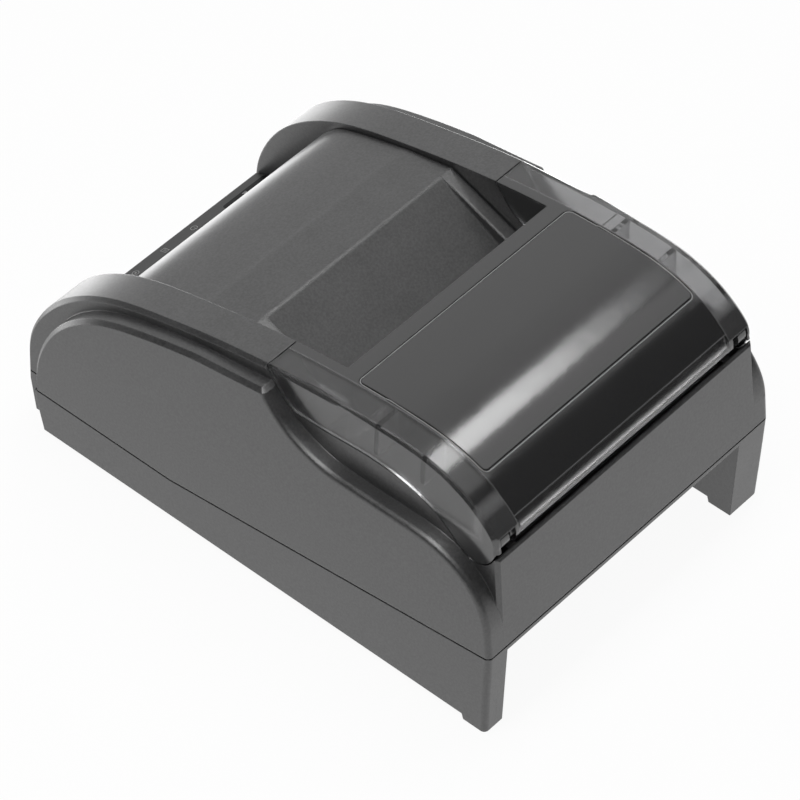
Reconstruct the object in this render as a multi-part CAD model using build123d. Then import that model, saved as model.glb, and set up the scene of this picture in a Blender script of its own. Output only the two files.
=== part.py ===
from build123d import *
import math
import os

# Desktop receipt printer, sizes in millimetres.
# X runs across the width, Y from the front (minus) to the rear (plus), Z up.
# The origin is on the floor under the middle of the outline.

# Outline
half_width = 68.0
front_y = -100.0
nose_foot_y = -97.5
cheek_foot_y = -89.0
rear_y = 100.0
crest_z = 96.9
crest_y = 54.0
floor_z = 3.0
seam_front_z = 20.6
seam_bend_y = -32.5
seam_rear_z = 36.4
seam_gap = 0.6
wall = 2.2
lid_wall = 2.0
cheek_step = 7.7
core_draft = 2.5
rail_width = 13.5
core_half_top = half_width - cheek_step
core_half_seam = core_half_top + core_draft
core_half_floor = core_half_seam - 0.5
rail_inner_x = core_half_top - rail_width
reach_x = half_width + 2.0
rail_chamfer = 1.2
cheek_bevel = 1.4
corner_radius = 1.8
fascia_chamfer = 0.5
pad_chamfer = 0.7

# Rear fascia, legs and cable recess
fascia_top_y = 96.3
fascia_top_z = 72.8
leg_foot_y = 98.9
leg_plus_width = 8.8
leg_minus_width = 14.7
leg_inner_plus_x = half_width - leg_plus_width
leg_inner_minus_x = leg_minus_width - half_width
recess_front_y = 66.0
recess_lip = 1.9
pad_length = 9.4

# Lid and its hinge
hinge_y = 91.4
hinge_z = 77.5
pin_radius = 1.5
knuckle_radius = 3.9
knuckle_side_room = 1.9
knuckle_width = 3.8
ear_gap = 1.4
ear_width = 3.6
knuckle_outer_x = core_half_top - knuckle_side_room
knuckle_inner_x = knuckle_outer_x - knuckle_width
ear_outer_x = knuckle_inner_x - ear_gap
ear_inner_x = ear_outer_x - ear_width
lid_front_y = 23.8
arm_front_y = 3.2
lid_gap = 0.45
field_border = 10.3
field_half_x = core_half_top - field_border
field_front_y = 29.7
field_rear_y = 81.4
groove_width = 0.9
groove_depth = 0.6

# Print line: platen, head and gears
platen_y = 30.5
platen_z = 58.0
platen_radius = 5.0
platen_half = 29.0
shaft_radius = 2.0
bushing_radius = 3.4
head_angle = 30.0
head_thickness = 1.0
sink_thickness = 3.0
module = 0.6
platen_teeth = 24
idler_small_teeth = 16
idler_large_teeth = 34
pinion_teeth = 12
gear_backlash = 0.1
gear_inner_x = -37.2
gear_width = 3.2
mesh_angle = 236.0
running_fit = 0.05

# Paper roll bay
roll_y = 62.0
roll_z = 66.0
bay_radius = 26.0
bay_half = 30.2
cradle_wall = 1.8

# Control strip
strip_front_y = -99.6
strip_front_z = 29.9
strip_angle = 20.0
strip_rear_y = -73.6
strip_thickness = 2.0
button_from_rail = 10.8
button_x = button_from_rail - rail_inner_x
button_length = 16.8
button_width = 10.4
button_play = 0.35
button_travel = 0.5

# Board
board_bottom_z = 10.0
board_thickness = 1.6
board_rear_y = 62.5
board_front_y = -62.0


def side_plate(face, x0, x1):
    """Carry a side-view face (first axis Y, second axis Z) from x0 to x1."""
    return extrude(Plane.YZ.offset(x0) * face, amount=x1 - x0)


def block(x0, x1, y0, y1, z0, z1):
    """A block between two corners."""
    return Pos((x0 + x1) / 2, (y0 + y1) / 2, (z0 + z1) / 2) * Box(x1 - x0, y1 - y0, z1 - z0)


def rod(x0, x1, y, z, radius):
    """A round bar along X."""
    return Pos((x0 + x1) / 2, y, z) * Rot(0, 90, 0) * Cylinder(radius, x1 - x0)


def post(x, y, z0, z1, radius):
    """A round bar along Z."""
    return Pos(x, y, (z0 + z1) / 2) * Cylinder(radius, z1 - z0)


def poly(*points):
    """A straight-sided face."""
    return make_face(Polyline(*points, close=True))


def save(name, shape):
    """Write one named piece."""
    shape.label = name
    export_step(shape, "parts/" + name + ".step")


os.makedirs("parts", exist_ok=True)


def moved_curve(curve, distance, start, end, steps=16):
    """A curve beside another one, a set distance to its right, between two given end points."""
    points = [start]
    for i in range(1, steps):
        place = curve @ (i / steps)
        along = curve % (i / steps)
        points.append((place.X + along.Y * distance, place.Y - along.X * distance))
    points.append(end)
    first = curve % 0
    last = curve % 1
    return Spline(*points, tangents=((first.X, first.Y), (last.X, last.Y)))


def side_of(curve, share, distance):
    """The point a set distance to the right of a place on a curve."""
    place = curve @ share
    along = curve % share
    return (place.X + along.Y * distance, place.Y - along.X * distance)


def corner_of(first, second, distance):
    """Where two curves meet once both are moved a set distance to their right."""
    place = first @ 1
    a = first % 1
    b = second % 0
    share = distance / (1 + a.X * b.X + a.Y * b.Y)
    return (place.X + (a.Y + b.Y) * share, place.Y - (a.X + b.X) * share)


# Side outline of the core: nose, rail top, lid top and fascia
rail_curve = Spline(
    (front_y, 28.0), (-96.2, 43.8), (-88.2, 57.0), (-76.5, 67.8), (-62.0, 76.0),
    (-40.0, 83.0), (-10.0, 89.9), (20.0, 94.6), (37.5, 96.2), (crest_y, crest_z),
    tangents=((0, 1), (1, 0)), tangent_scalars=(1, 0.6),
)
lid_curve = Spline(
    (crest_y, crest_z), (70.0, 95.6), (80.0, 92.3), (88.0, 87.4), (93.6, 82.2), (95.5, 76.6),
    tangents=((1, 0), (-0.1, -1)),
)


def core_face(inset):
    """The core seen from the side, drawn in by a wall thickness."""
    nose_top = (front_y + inset, 28.0)
    crest = (crest_y, crest_z - inset)
    tail = side_of(lid_curve, 1, inset)
    if inset == 0:
        top = [rail_curve, lid_curve]
    else:
        top = [moved_curve(rail_curve, inset, nose_top, crest), moved_curve(lid_curve, inset, crest, tail)]
    foot = (nose_foot_y + inset, floor_z + inset)
    nose = Polyline(foot, (-99.4 + inset, seam_front_z), nose_top)
    rear = Polyline(
        tail, (fascia_top_y - inset, fascia_top_z), (rear_y - inset, seam_rear_z),
        (leg_foot_y + 0.1 - inset, floor_z + inset), foot,
    )
    return make_face([nose] + top + [rear])


# Side outline of the raised cheek: D-shaped front, step at the lid, S-curve, rounded tail
cheek_top = Spline(
    (-92.2, seam_front_z), (-91.1, 33.0), (-86.9, 45.7), (-79.9, 57.1), (-66.8, 68.7),
    (-50.2, 76.0), (-24.2, 83.0), (6.5, 87.8),
    tangents=((0, 1), (1, 0.16)),
)
s_curve = Spline(
    (6.5, 87.8), (10.1, 83.1), (17.4, 77.2), (26.0, 73.4), (40.0, 71.4),
    tangents=((0.45, -1), (1, 0)),
)
shelf = Spline(
    (40.0, 71.4), (60.0, 71.4), (78.0, 70.1), (88.0, 65.4), (95.2, 57.4), (99.0, 46.2),
    tangents=((1, 0), (0.1, -1)),
)


def cheek_face(inset):
    """The cheek seen from the side, drawn in by a wall thickness."""
    front = (-92.2 + inset, seam_front_z)
    step = corner_of(cheek_top, s_curve, inset)
    low = (40.0, 71.4 - inset)
    tail = side_of(shelf, 1, inset)
    if inset == 0:
        top = [cheek_top, s_curve, shelf]
    else:
        top = [
            moved_curve(cheek_top, inset, front, step),
            moved_curve(s_curve, inset, step, low),
            moved_curve(shelf, inset, low, tail),
        ]
    foot = (cheek_foot_y + inset, floor_z + inset)
    if inset == 0:
        pad = [(leg_foot_y, 0), (leg_foot_y - pad_length + 0.8, 0), (leg_foot_y - pad_length, floor_z)]
    else:
        pad = [(leg_foot_y + 0.1 - inset, floor_z + inset)]
    rear = Polyline(tail, (rear_y - inset, seam_rear_z), *pad, foot, front)
    return make_face(top + [rear])


def core_section(inset):
    """Drafted cross-section of the core, carried along Y."""
    a = core_half_floor - inset
    b = core_half_seam - inset
    c = core_half_top - inset
    section = poly((-a, -1), (-b, seam_front_z), (-c, 99), (c, 99), (b, seam_front_z), (a, -1))
    return extrude(Plane.XZ.offset(-110) * section, amount=220)


def cheek_section(inset):
    """Slightly barrelled cross-section across both cheeks, carried along Y."""
    h = half_width - inset
    right = ThreePointArc((h - 0.65, 0), (h, 33), (h - 1.8, 88))
    top = Polyline((h - 1.8, 88), (h - 1.8, 99), (-h + 1.8, 99), (-h + 1.8, 88))
    left = ThreePointArc((-h + 1.8, 88), (-h, 33), (-h + 0.65, 0))
    foot = Polyline((-h + 0.65, 0), (-h + 0.65, -1), (h - 0.65, -1), (h - 0.65, 0))
    return extrude(Plane.XZ.offset(-110) * make_face([right, top, left, foot]), amount=220)


def core_body(inset):
    return side_plate(core_face(inset), -reach_x, reach_x) & core_section(inset)


def cheek_body(inset):
    return side_plate(cheek_face(inset), -reach_x, reach_x) & cheek_section(inset)


# Bevel along the core's upper edges, cut by a skin that leans in with the drafted sides
draft = math.atan((core_half_seam - core_half_top) / (99 - seam_front_z))
bevel_reach = 0.6


def drafted_plane(out):
    """A plane along the core's right side, moved outwards by a distance."""
    outward = (math.cos(draft), 0, math.sin(draft))
    foot_x = core_half_seam + seam_front_z * math.tan(draft)
    return Plane(origin=(foot_x + out * outward[0], 0, out * outward[2]), x_dir=(0, 1, 0), z_dir=outward)


def bevel_face(inset):
    """The core's side outline for the bevel, with the foot carried down past the floor."""
    nose_top = (front_y + inset, 28.0)
    crest = (crest_y, crest_z - inset)
    tail = side_of(lid_curve, 1, inset)
    top = [
        moved_curve(rail_curve, inset, nose_top, crest, 8),
        moved_curve(lid_curve, inset, crest, tail, 8),
    ]
    rear = Polyline(
        tail, (fascia_top_y - inset, fascia_top_z), (rear_y - inset, seam_rear_z), (rear_y - inset, -8.0),
        (front_y + inset, -8.0), nose_top,
    )
    return make_face(top + [rear])


bevel_skin = loft([
    drafted_plane(-rail_chamfer - bevel_reach) * bevel_face(-bevel_reach),
    drafted_plane(bevel_reach) * bevel_face(rail_chamfer + bevel_reach),
], ruled=True)
bevel_waste = drafted_plane(-rail_chamfer - bevel_reach) * extrude(Pos(0, 50) * Rectangle(240, 120), amount=6)
bevel_waste = bevel_waste - bevel_skin
core = core_body(0) - bevel_waste - mirror(bevel_waste, about=Plane.YZ)
cheeks = cheek_body(0)

# Round the rear corners, then bevel the cheek's edge all along its curve
corner_edges = [
    e for e in cheeks.edges()
    if abs(e.center().X) > half_width - 3.0 and e.center().Y > rear_y - 1.5
    and e.center().Z < 46.1 and e.bounding_box().size.Z > 5.0
]
cheeks = fillet(corner_edges, corner_radius)
bevel_edges = [
    e for e in cheeks.edges()
    if abs(e.center().X) > half_width - 3.0 and e.center().Z > 46.0 and e.length > 3.0
]
cheeks = chamfer(bevel_edges, cheek_bevel)

# Seam between the shells
seam_slope = (seam_rear_z - seam_front_z) / (rear_y - seam_bend_y)
seam_end = (110, seam_rear_z + (110 - rear_y) * seam_slope)
seam_bend = (seam_bend_y, seam_front_z)
seam_start = (-110, seam_front_z)
seam_face = poly((-110, -5), (110, -5), seam_end, seam_bend, seam_start)
below_seam = side_plate(seam_face, -reach_x, reach_x)
above_face = poly(seam_start, seam_bend, seam_end, (110, 120), (-110, 120))
above_seam = side_plate(above_face, -reach_x, reach_x)


def seam_z(y):
    """Height of the seam at a distance from the middle."""
    return seam_front_z + max(0.0, y - seam_bend_y) * seam_slope


# Both shells come from one outer body and one inner body
outer = core + cheeks
inner = core_body(wall) + cheek_body(wall)
lip_inner = core_body(wall + 1.3) + cheek_body(wall + 1.3)
lip_outer = core_body(wall + 0.15) + cheek_body(wall + 0.15)

# Region the lid takes from the core, seen from the side
lid_s_edge = Spline((6.5, 88.3), (9.9, 84.0), (14.6, 80.6), tangents=((0.45, -1), (1, -0.6)))
lid_skirt_edge = Spline(
    (14.6, 80.6), (28.0, 81.0), (43.0, 82.2), (57.0, 81.5), (68.0, 78.6), (76.0, 74.4),
    (81.3, 69.9), (87.7, 67.4), (92.6, 69.8), (95.2, 75.0),
    tangents=((1, 0.02), (0.35, 1)),
)


def lid_region(room):
    """The lid seen from the side, with its lower edge moved out by a clearance."""
    corner = corner_of(lid_s_edge, lid_skirt_edge, room)
    start = side_of(lid_s_edge, 0, room)
    end = side_of(lid_skirt_edge, 1, room)
    if room == 0:
        low = [lid_s_edge, lid_skirt_edge]
    else:
        low = [
            moved_curve(lid_s_edge, room, start, corner),
            moved_curve(lid_skirt_edge, room, corner, end),
        ]
    rim = Polyline(
        end, (99.0 + room, 75.0 - room), (99.0 + room, 99.0), (arm_front_y - room, 99.0),
        (arm_front_y - room, 91.4 - 0.4 * room), start,
    )
    return make_face(low + [rim])


core_half_skirt = core_half_top + 1.1

# Lower shell
lip_drop = recess_lip + 0.2
recess_roof = [(recess_front_y, seam_z(recess_front_y) - lip_drop), (110, seam_z(110) - lip_drop)]
recess_face = poly((recess_front_y, -5), recess_roof[0], recess_roof[1], (110, -5))
keep_face = poly((recess_front_y - 2.0, -5), (recess_front_y - 2.0, 60), (110, 60), (110, -5))
recess = side_plate(recess_face, leg_inner_minus_x, leg_inner_plus_x)
recess_keep = side_plate(keep_face, leg_inner_minus_x - 2.0, leg_inner_plus_x + 2.0)
lower_cut = Pos(0, 0, -seam_gap / 2) * below_seam
base_shell = (outer & lower_cut) - (inner - recess_keep) - recess

# Tongue inside the seam
tongue_reach = Pos(0, 0, -4.5) * above_seam
tongue = (lip_outer - lip_inner) & (Pos(0, 0, 1.8) * below_seam) & tongue_reach
tongue_root = (inner - lip_inner) & (Pos(0, 0, -seam_gap / 2 - 0.3) * below_seam) & tongue_reach
base_shell = base_shell + ((tongue + tongue_root) - recess_keep - block(-reach_x, reach_x, 84, 110, 0, 60))

# Soften the ground edges of the pads under the legs
base_shell = chamfer([e for e in base_shell.edges() if abs(e.center().Z) < 0.01], pad_chamfer)

# Posts in the lower shell: case posts, frame posts, board posts
front_post_x = half_width - 13.0
rear_post_x = half_width - 11.0
case_posts = ((-front_post_x, -72.0), (front_post_x, -72.0), (-rear_post_x, 54.0), (rear_post_x, 54.0))
frame_posts = ((-39.0, -17.0), (39.0, -17.0), (-39.0, 31.0), (39.0, 31.0))
board_posts = ((-28.0, -55.0), (28.0, -55.0), (-28.0, 56.0), (28.0, 56.0))
inner_floor = floor_z + wall
frame_plate_z = 35.0
case_post_radius = 4.0
screw_radius = 1.25
for x, y in case_posts:
    base_shell = base_shell + post(x, y, inner_floor - 0.2, seam_z(y), case_post_radius)
    base_shell = base_shell - post(x, y, 0, 12.0, 3.1) - post(x, y, 10, 60, 1.7)
for x, y in frame_posts:
    base_shell = base_shell + post(x, y, inner_floor - 0.2, frame_plate_z, 3.2)
    base_shell = base_shell + block(x - 0.7, x + 0.7, y - 6, y + 6, inner_floor - 0.2, 18)
    base_shell = base_shell - post(x, y, frame_plate_z - 9, frame_plate_z + 1, screw_radius)
for x, y in board_posts:
    base_shell = base_shell + post(x, y, inner_floor - 0.2, board_bottom_z, 3.0)
    base_shell = base_shell - post(x, y, inner_floor, board_bottom_z + 1, 1.0)

# Vents, foot sockets and a bare label field in the floor
for i in range(8):
    base_shell = base_shell - block(-24, 24, -40 + 8 * i, -37.6 + 8 * i, 0, inner_floor + 0.1)
foot_x = half_width - 16.0
feet = ((-foot_x, -84.0), (foot_x, -84.0), (-foot_x, 40.0), (foot_x, 40.0))
foot_radius = 6.0
for x, y in feet:
    base_shell = base_shell - post(x, y, 0, floor_z + 0.8, foot_radius + 0.15)
rubber_feet = Compound(children=[
    chamfer(post(x, y, 0, floor_z + 0.8, foot_radius).edges().group_by(Axis.Z)[0], 0.5) for x, y in feet
])

# Sockets and switch in the recess wall
jack_x = 40.0
usb_x = 18.0
drawer_x = -4.0
switch_x = leg_inner_minus_x + 12.3
socket_z = board_bottom_z + board_thickness
base_shell = base_shell - block(jack_x - 5.2, jack_x + 5.2, 60, 70, socket_z - 0.3, socket_z + 11.3)
base_shell = base_shell - block(usb_x - 6.4, usb_x + 6.4, 60, 70, socket_z - 0.3, socket_z + 11.3)
base_shell = base_shell - block(drawer_x - 7.4, drawer_x + 7.4, 60, 70, socket_z - 0.3, socket_z + 12.3)
base_shell = base_shell - block(switch_x - 6.7, switch_x + 6.7, 60, 70, 8.9, 27.1)

# Upper shell
upper_cut = Pos(0, 0, seam_gap / 2) * above_seam
strip_rise = math.tan(math.radians(strip_angle))
under_front_z = strip_front_z - strip_thickness / math.cos(math.radians(strip_angle))


def strip_under(y):
    return under_front_z + (y - strip_front_y) * strip_rise


well_face = poly(
    (-104, strip_under(-104)), (-70, strip_under(-70)), (-70, 15), (93.0, 15), (93.0, 99), (-104, 99),
)
well = side_plate(well_face, -rail_inner_x, rail_inner_x)
upper_shell = (outer & upper_cut) - inner
rail_face = core_face(0.6) & poly((-101, 38), (26.0, 38), (26.0, 99), (-101, 99))
for side in (1, -1):
    x0, x1 = sorted((side * rail_inner_x, side * (rail_inner_x + wall)))
    upper_shell = upper_shell + side_plate(rail_face, x0, x1)
    nose_wall = core_face(0.6) & poly((-101, 23), (-68, 23), (-68, 40), (-101, 40))
    upper_shell = upper_shell + side_plate(nose_wall, x0, x1)
band_face = lid_region(lid_gap + wall) - lid_region(lid_gap)
band_face = band_face & poly((-1, 70), (27.0, 70), (27.0, 99), (-1, 99))
band_plate = side_plate(band_face, -core_half_top + 0.4, core_half_top - 0.4) & core
upper_shell = upper_shell + band_plate
upper_shell = upper_shell - well
lid_room = side_plate(lid_region(lid_gap), -core_half_skirt, core_half_skirt)
rear_room = core_half_skirt - 0.2
upper_shell = upper_shell - lid_room - block(-rear_room, rear_room, 90, 110, fascia_top_z, 100)

fascia_edges = [
    e for e in upper_shell.edges()
    if abs(e.center().Z - fascia_top_z) < 0.05 and e.center().Y > fascia_top_y - 0.5 and e.length > half_width
]
upper_shell = chamfer(fascia_edges, fascia_chamfer)

# Ledges that carry the cover, the strip and the cradle; posts over the case screws
cover_base_z = 40.0
deck_z = 68.0
for side in (1, -1):
    x0, x1 = sorted((side * (rail_inner_x - 3.2), side * (rail_inner_x + 0.5)))
    upper_shell = upper_shell + block(x0, x1, -70.0, 20.0, cover_base_z - 2.0, cover_base_z)
    ledge = poly(
        (-97.0, strip_under(-97.0)), (-74.5, strip_under(-74.5)),
        (-74.5, strip_under(-74.5) - 1.8), (-97.0, strip_under(-97.0) - 1.8),
    )
    x0, x1 = sorted((side * (rail_inner_x - 1.3), side * (rail_inner_x + 0.5)))
    upper_shell = upper_shell + side_plate(ledge, x0, x1)
    x0, x1 = sorted((side * (ear_outer_x + 0.2), side * (half_width - 1.7)))
    upper_shell = upper_shell + (block(x0, x1, 44.0, 52.0, deck_z - 3.0, deck_z) & inner)
    upper_shell = upper_shell + (block(x0, x1, 76.0, 84.0, deck_z - 3.0, deck_z) & inner)
for x, y in case_posts:
    top = 56.0 if y < 0 else deck_z - 2.0
    side = 1 if x > 0 else -1
    upper_shell = upper_shell + post(x, y, seam_z(y), top, 3.6)
    x0, x1 = sorted((x, side * (half_width - 1.7)))
    upper_shell = upper_shell + (block(x0, x1, y - 0.8, y + 0.8, seam_z(y) + 2.0, top) & inner)
    x0, x1 = sorted((side * (rail_inner_x + 1.0), x))
    if y < 0:
        upper_shell = upper_shell + block(x0, x1, y - 0.8, y + 0.8, 42.0, top)
    upper_shell = upper_shell - post(x, y, seam_z(y) - 1, seam_z(y) + 14, screw_radius)

# Hinge ears on the fascia
ear_face = poly(
    (96.0, 58.0), (95.6, 70.6), (89.0, 71.4), (90.0, 75.2), (88.4, 77.6),
    (87.6, 76.6), (84.0, 71.5), (84.0, 63.0), (89.0, 58.0),
) + Pos(hinge_y, hinge_z) * Circle(3.0)
for side in (1, -1):
    x0, x1 = sorted((side * ear_inner_x, side * ear_outer_x))
    upper_shell = upper_shell + (side_plate(ear_face, x0, x1) & block(-reach_x, reach_x, 80, 96.2, 50, 90))
    upper_shell = upper_shell - rod(x0 - 1, x1 + 1, hinge_y, hinge_z, pin_radius)

# Lid
lid_space = side_plate(lid_region(0), -reach_x, reach_x)
centre_keep = block(-rail_inner_x, rail_inner_x, lid_front_y, 110, 60, 110)
arms_keep = block(rail_inner_x, reach_x, -20, 110, 60, 110)
arms_keep = arms_keep + block(-reach_x, -rail_inner_x, -20, 110, 60, 110)
lid_outer = (core & lid_space) & (centre_keep + arms_keep)
lid_inner = core_body(lid_wall) & block(-reach_x, reach_x, -5, 110, 60, 110)
skirt_end_y = lid_front_y + 2
skirt_face = (core_face(0.4) & lid_region(0)) & poly((-5, 60), (skirt_end_y, 60), (skirt_end_y, 99), (-5, 99))
lid = lid_outer - (lid_inner & (centre_keep + arms_keep))
for side in (1, -1):
    x0, x1 = sorted((side * rail_inner_x, side * (rail_inner_x + lid_wall)))
    lid = lid + side_plate(skirt_face, x0, x1)
front_wall = poly((lid_front_y, 94.6), (25.2, 66.0), (27.0, 66.0), (lid_front_y + 2.2, 93.6))
front_wall_half = rail_inner_x - 1.8
lid = lid + side_plate(front_wall, -front_wall_half, front_wall_half)
front_rib_half = rail_inner_x - 0.8
lid = lid + (block(-front_rib_half, front_rib_half, lid_front_y, lid_front_y + 2.2, 84.0, 94.4) & core)
lip_low_z = 76.7
lip_half_x = ear_outer_x - 1.4
skin_inner_x = core_half_top - 1.4
lid = lid - block(-reach_x, reach_x, 93.0, 110, 50, lip_low_z)
for side in (1, -1):
    x0, x1 = sorted((side * skin_inner_x, side * (core_half_top + 1.7)))
    lid = lid + (side_plate(lid_region(0), x0, x1) & core & block(x0, x1, 93.0, 110, 50, 80))
    x0, x1 = sorted((side * lip_half_x, side * skin_inner_x))
    lid = lid - block(x0, x1, 86.0, 110, 60, 80.4)
    x0, x1 = sorted((side * knuckle_inner_x, side * knuckle_outer_x))
    web = poly((88.6, 78.0), (89.2, 85.4), (91.6, 84.0), (93.6, 80.5), (95.0, 78.0))
    knuckle = side_plate(web, x0, x1) & core
    knuckle = knuckle + rod(x0, x1, hinge_y, hinge_z, knuckle_radius)
    joiner0, joiner1 = sorted((side * (knuckle_outer_x - 0.5), side * (core_half_top - 0.7)))
    knuckle = knuckle + rod(joiner0, joiner1, hinge_y, hinge_z, 3.2)
    lid = lid + knuckle
    x0, x1 = sorted((side * (ear_inner_x - 0.4), side * (ear_outer_x + 0.3)))
    lid = lid - rod(x0, x1, hinge_y, hinge_z, 3.35)
    x0, x1 = sorted((side * (ear_outer_x - 0.2), side * (knuckle_outer_x + 0.3)))
    lid = lid - rod(x0, x1, hinge_y, hinge_z, pin_radius + running_fit)

# Ribs across the side bands, and bosses for the platen holder
for side in (1, -1):
    x0, x1 = sorted((side * (field_half_x + 0.4), side * (core_half_top - 0.3)))
    for y in (46.0, 64.5):
        rib = block(x0, x1, y, y + 1.6, 84.0, 97.0) & core_body(0.8)
        lid = lid + rib
holder_screws_at = ((-24.0, 33.5), (24.0, 33.5))
holder_top_z = 88.0
for x, y in holder_screws_at:
    lid = lid + (post(x, y, holder_top_z, 96.0, 3.0) & core_body(0.8))
    lid = lid - post(x, y, holder_top_z - 1, holder_top_z + 5.5, 1.0)

# Framed field in the lid's top, a narrow groove that follows the crown
field = Pos(0, (field_front_y + field_rear_y) / 2, 0) * RectangleRounded(
    2 * field_half_x, field_rear_y - field_front_y, 2.5)
field_small = Pos(0, (field_front_y + field_rear_y) / 2, 0) * RectangleRounded(
    2 * (field_half_x - groove_width), field_rear_y - field_front_y - 2 * groove_width, 1.6)
ring = extrude(Pos(0, 0, 80) * (field - field_small), amount=30)
lid = lid - (ring & (core - core_body(groove_depth)))

pin_end_x = knuckle_outer_x - 0.2
hinge_pins = Compound(children=[
    rod(ear_inner_x, pin_end_x, hinge_y, hinge_z, pin_radius),
    rod(-pin_end_x, -ear_inner_x, hinge_y, hinge_z, pin_radius),
])


# Cover over the mechanism: steep front roll, nearly flat crown, kink, then the paper ramp
cover_half = rail_inner_x - 0.4
cover_wall = 2.0
kink_y = -15.0
kink_z = 86.8
band_slope = math.tan(math.radians(21.0))
ramp_slope = math.tan(math.radians(29.7))
ramp_border = 5.2
ramp_half = cover_half - ramp_border
ramp_end_y = 18.4
crease_radius = 2.0


def cover_outline(inset, slope, low):
    """Closed side view of the cover, drawn in by a wall thickness."""
    front = Line((-73.0 + inset, low), (-72.4 + inset, 60.0))
    roll = Spline(
        (-72.4 + inset, 60.0), (-69.2 + 0.9 * inset, 67.4 - 0.45 * inset),
        (-64.2 + 0.6 * inset, 72.4 - 0.8 * inset),
        (-56.0, 76.4 - inset), (-36.0, 82.3 - inset), (kink_y, kink_z - inset),
        tangents=((0.02, 1), (1, 0.2)),
    )
    tail = Polyline(
        (kink_y, kink_z - inset), (22.0, kink_z - inset - (22.0 - kink_y) * slope),
        (22.0, low), (-73.0 + inset, low),
    )
    return make_face([front, roll, tail])


mech_cover = side_plate(cover_outline(0, band_slope, cover_base_z), -cover_half, cover_half)
wedge_length = 24.0 - kink_y
wedge = poly(
    (kink_y, kink_z), (24.0, kink_z - wedge_length * band_slope + 1.0),
    (24.0, kink_z - wedge_length * ramp_slope),
)
mech_cover = mech_cover - side_plate(wedge, -ramp_half, ramp_half)
crease = [e for e in mech_cover.edges() if abs(e.center().Y - kink_y) < 0.05 and e.length > ramp_half]
mech_cover = fillet(crease, crease_radius)
cover_inner = cover_half - cover_wall
hollow = side_plate(cover_outline(cover_wall, ramp_slope, cover_base_z - 5), -cover_inner, cover_inner)
hollow = hollow + side_plate(
    poly((21.0, 20), (30.0, 20), (30.0, 66.5), (21.0, 68.0)), -cover_inner, cover_inner)
for side in (1, -1):
    x0, x1 = sorted((side * (ramp_half + cover_wall), side * cover_inner))
    hollow = hollow + side_plate(cover_outline(cover_wall, band_slope, cover_base_z - 5), x0, x1)
mech_cover = mech_cover - hollow
mech_cover = mech_cover - block(-ramp_half - 4, ramp_half + 4, ramp_end_y, 30, 30, 72.6)
mech_cover = mech_cover - block(-cover_inner, cover_inner, ramp_end_y, 30, 30, 90)
lid_sweep = rod(
    -cover_half - 1, cover_half + 1, hinge_y, hinge_z, math.hypot(hinge_y - 24.6, hinge_z - 66.0) + 0.8)
mech_cover = mech_cover - (lid_sweep & block(-60, 60, 15, 40, 30, 76))

# Control strip with the button window and the light windows
strip_plane = Plane(
    origin=(0, strip_front_y, strip_front_z), x_dir=(1, 0, 0),
    z_dir=(0, -math.sin(math.radians(strip_angle)), math.cos(math.radians(strip_angle))),
)
strip_length = (strip_rear_y - strip_front_y) / math.cos(math.radians(strip_angle))


def on_strip(shape):
    """Place a shape drawn on the strip: X across, Y up the slope, Z out of it."""
    return strip_plane.location * shape


button_up = 13.0
light_up = 13.0
light_xs = (-12.5, 1.5, 15.5)
light_radius = 1.5
strip_body = Box(2 * cover_half, strip_length, strip_thickness)
strip_body = Pos(0, strip_length / 2, -strip_thickness / 2) * strip_body
window_face = RectangleRounded(button_length + 2 * button_play, button_width + 2 * button_play, 2.2)
window = Pos(button_x, button_up, -strip_thickness / 2) * extrude(window_face, amount=4, both=True)
strip_body = strip_body - window
for x in light_xs:
    strip_body = strip_body - Pos(x, light_up, 0) * Cylinder(light_radius + 0.05, 8)
panel_gap = 7.0
for x in (-22.0, 34.0):
    strip_body = strip_body + Pos(x, 9.0, -strip_thickness - (panel_gap - strip_thickness) / 2) * Cylinder(
        2.2, panel_gap - strip_thickness)
    strip_body = strip_body - Pos(x, 9.0, -panel_gap + 1.5) * Cylinder(0.8, 5.0)
control_strip = on_strip(strip_body)

# Feed button: rounded cap, flange under the strip, stem to the switch
cap = extrude(RectangleRounded(button_length, button_width, 1.9), amount=strip_thickness + 1.0)
cap = chamfer(cap.faces().sort_by(Axis.Z)[-1].edges(), 0.5)
button_body = Pos(button_x, button_up, -strip_thickness) * cap
flange = Pos(button_x, button_up, -strip_thickness - 0.55) * Box(button_length + 1.6, button_width + 2.4, 1.0)
stem = Pos(button_x, button_up, -strip_thickness - 0.05 - 1.0 - 0.9) * Cylinder(1.6, 1.8)
button_root = Pos(button_x, button_up, -strip_thickness) * Box(button_length - 4, button_width - 3, 0.6)
button_body = button_body + flange + stem + button_root
feed_button = on_strip(button_body)

pipe_length = panel_gap - 1.6
light_pipes = Compound(children=[
    on_strip(Pos(x, light_up, -pipe_length / 2) * Cylinder(light_radius, pipe_length)) for x in light_xs
])

# Panel board under the strip with lights and the switch
board_x0 = 0.4 - cover_half
board_x1 = 38.0
panel_body = Pos((board_x0 + board_x1) / 2, 12.0, -panel_gap - 0.8) * Box(board_x1 - board_x0, 18.0, 1.6)
for x in (-22.0, 34.0):
    panel_body = panel_body - Pos(x, 9.0, -panel_gap - 0.8) * Cylinder(1.1, 3)
panel_board = on_strip(panel_body)
panel_leds = Compound(children=[
    on_strip(Pos(x, light_up, -panel_gap + 0.6) * Box(2.8, 1.6, 1.2)) for x in light_xs
])
switch_top = -strip_thickness - 0.05 - 1.0 - 1.8
switch_body = Pos(button_x, button_up, -panel_gap + 0.75) * Box(6.0, 6.0, 1.5)
feed_switch = on_strip(switch_body - Pos(button_x, button_up, -panel_gap + 1.1) * Cylinder(1.45, 1.4))
plunger_low = 1.0 - panel_gap
switch_plunger = on_strip(
    Pos(button_x, button_up, (switch_top + plunger_low) / 2) * Cylinder(1.4, switch_top - plunger_low)
)
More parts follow.
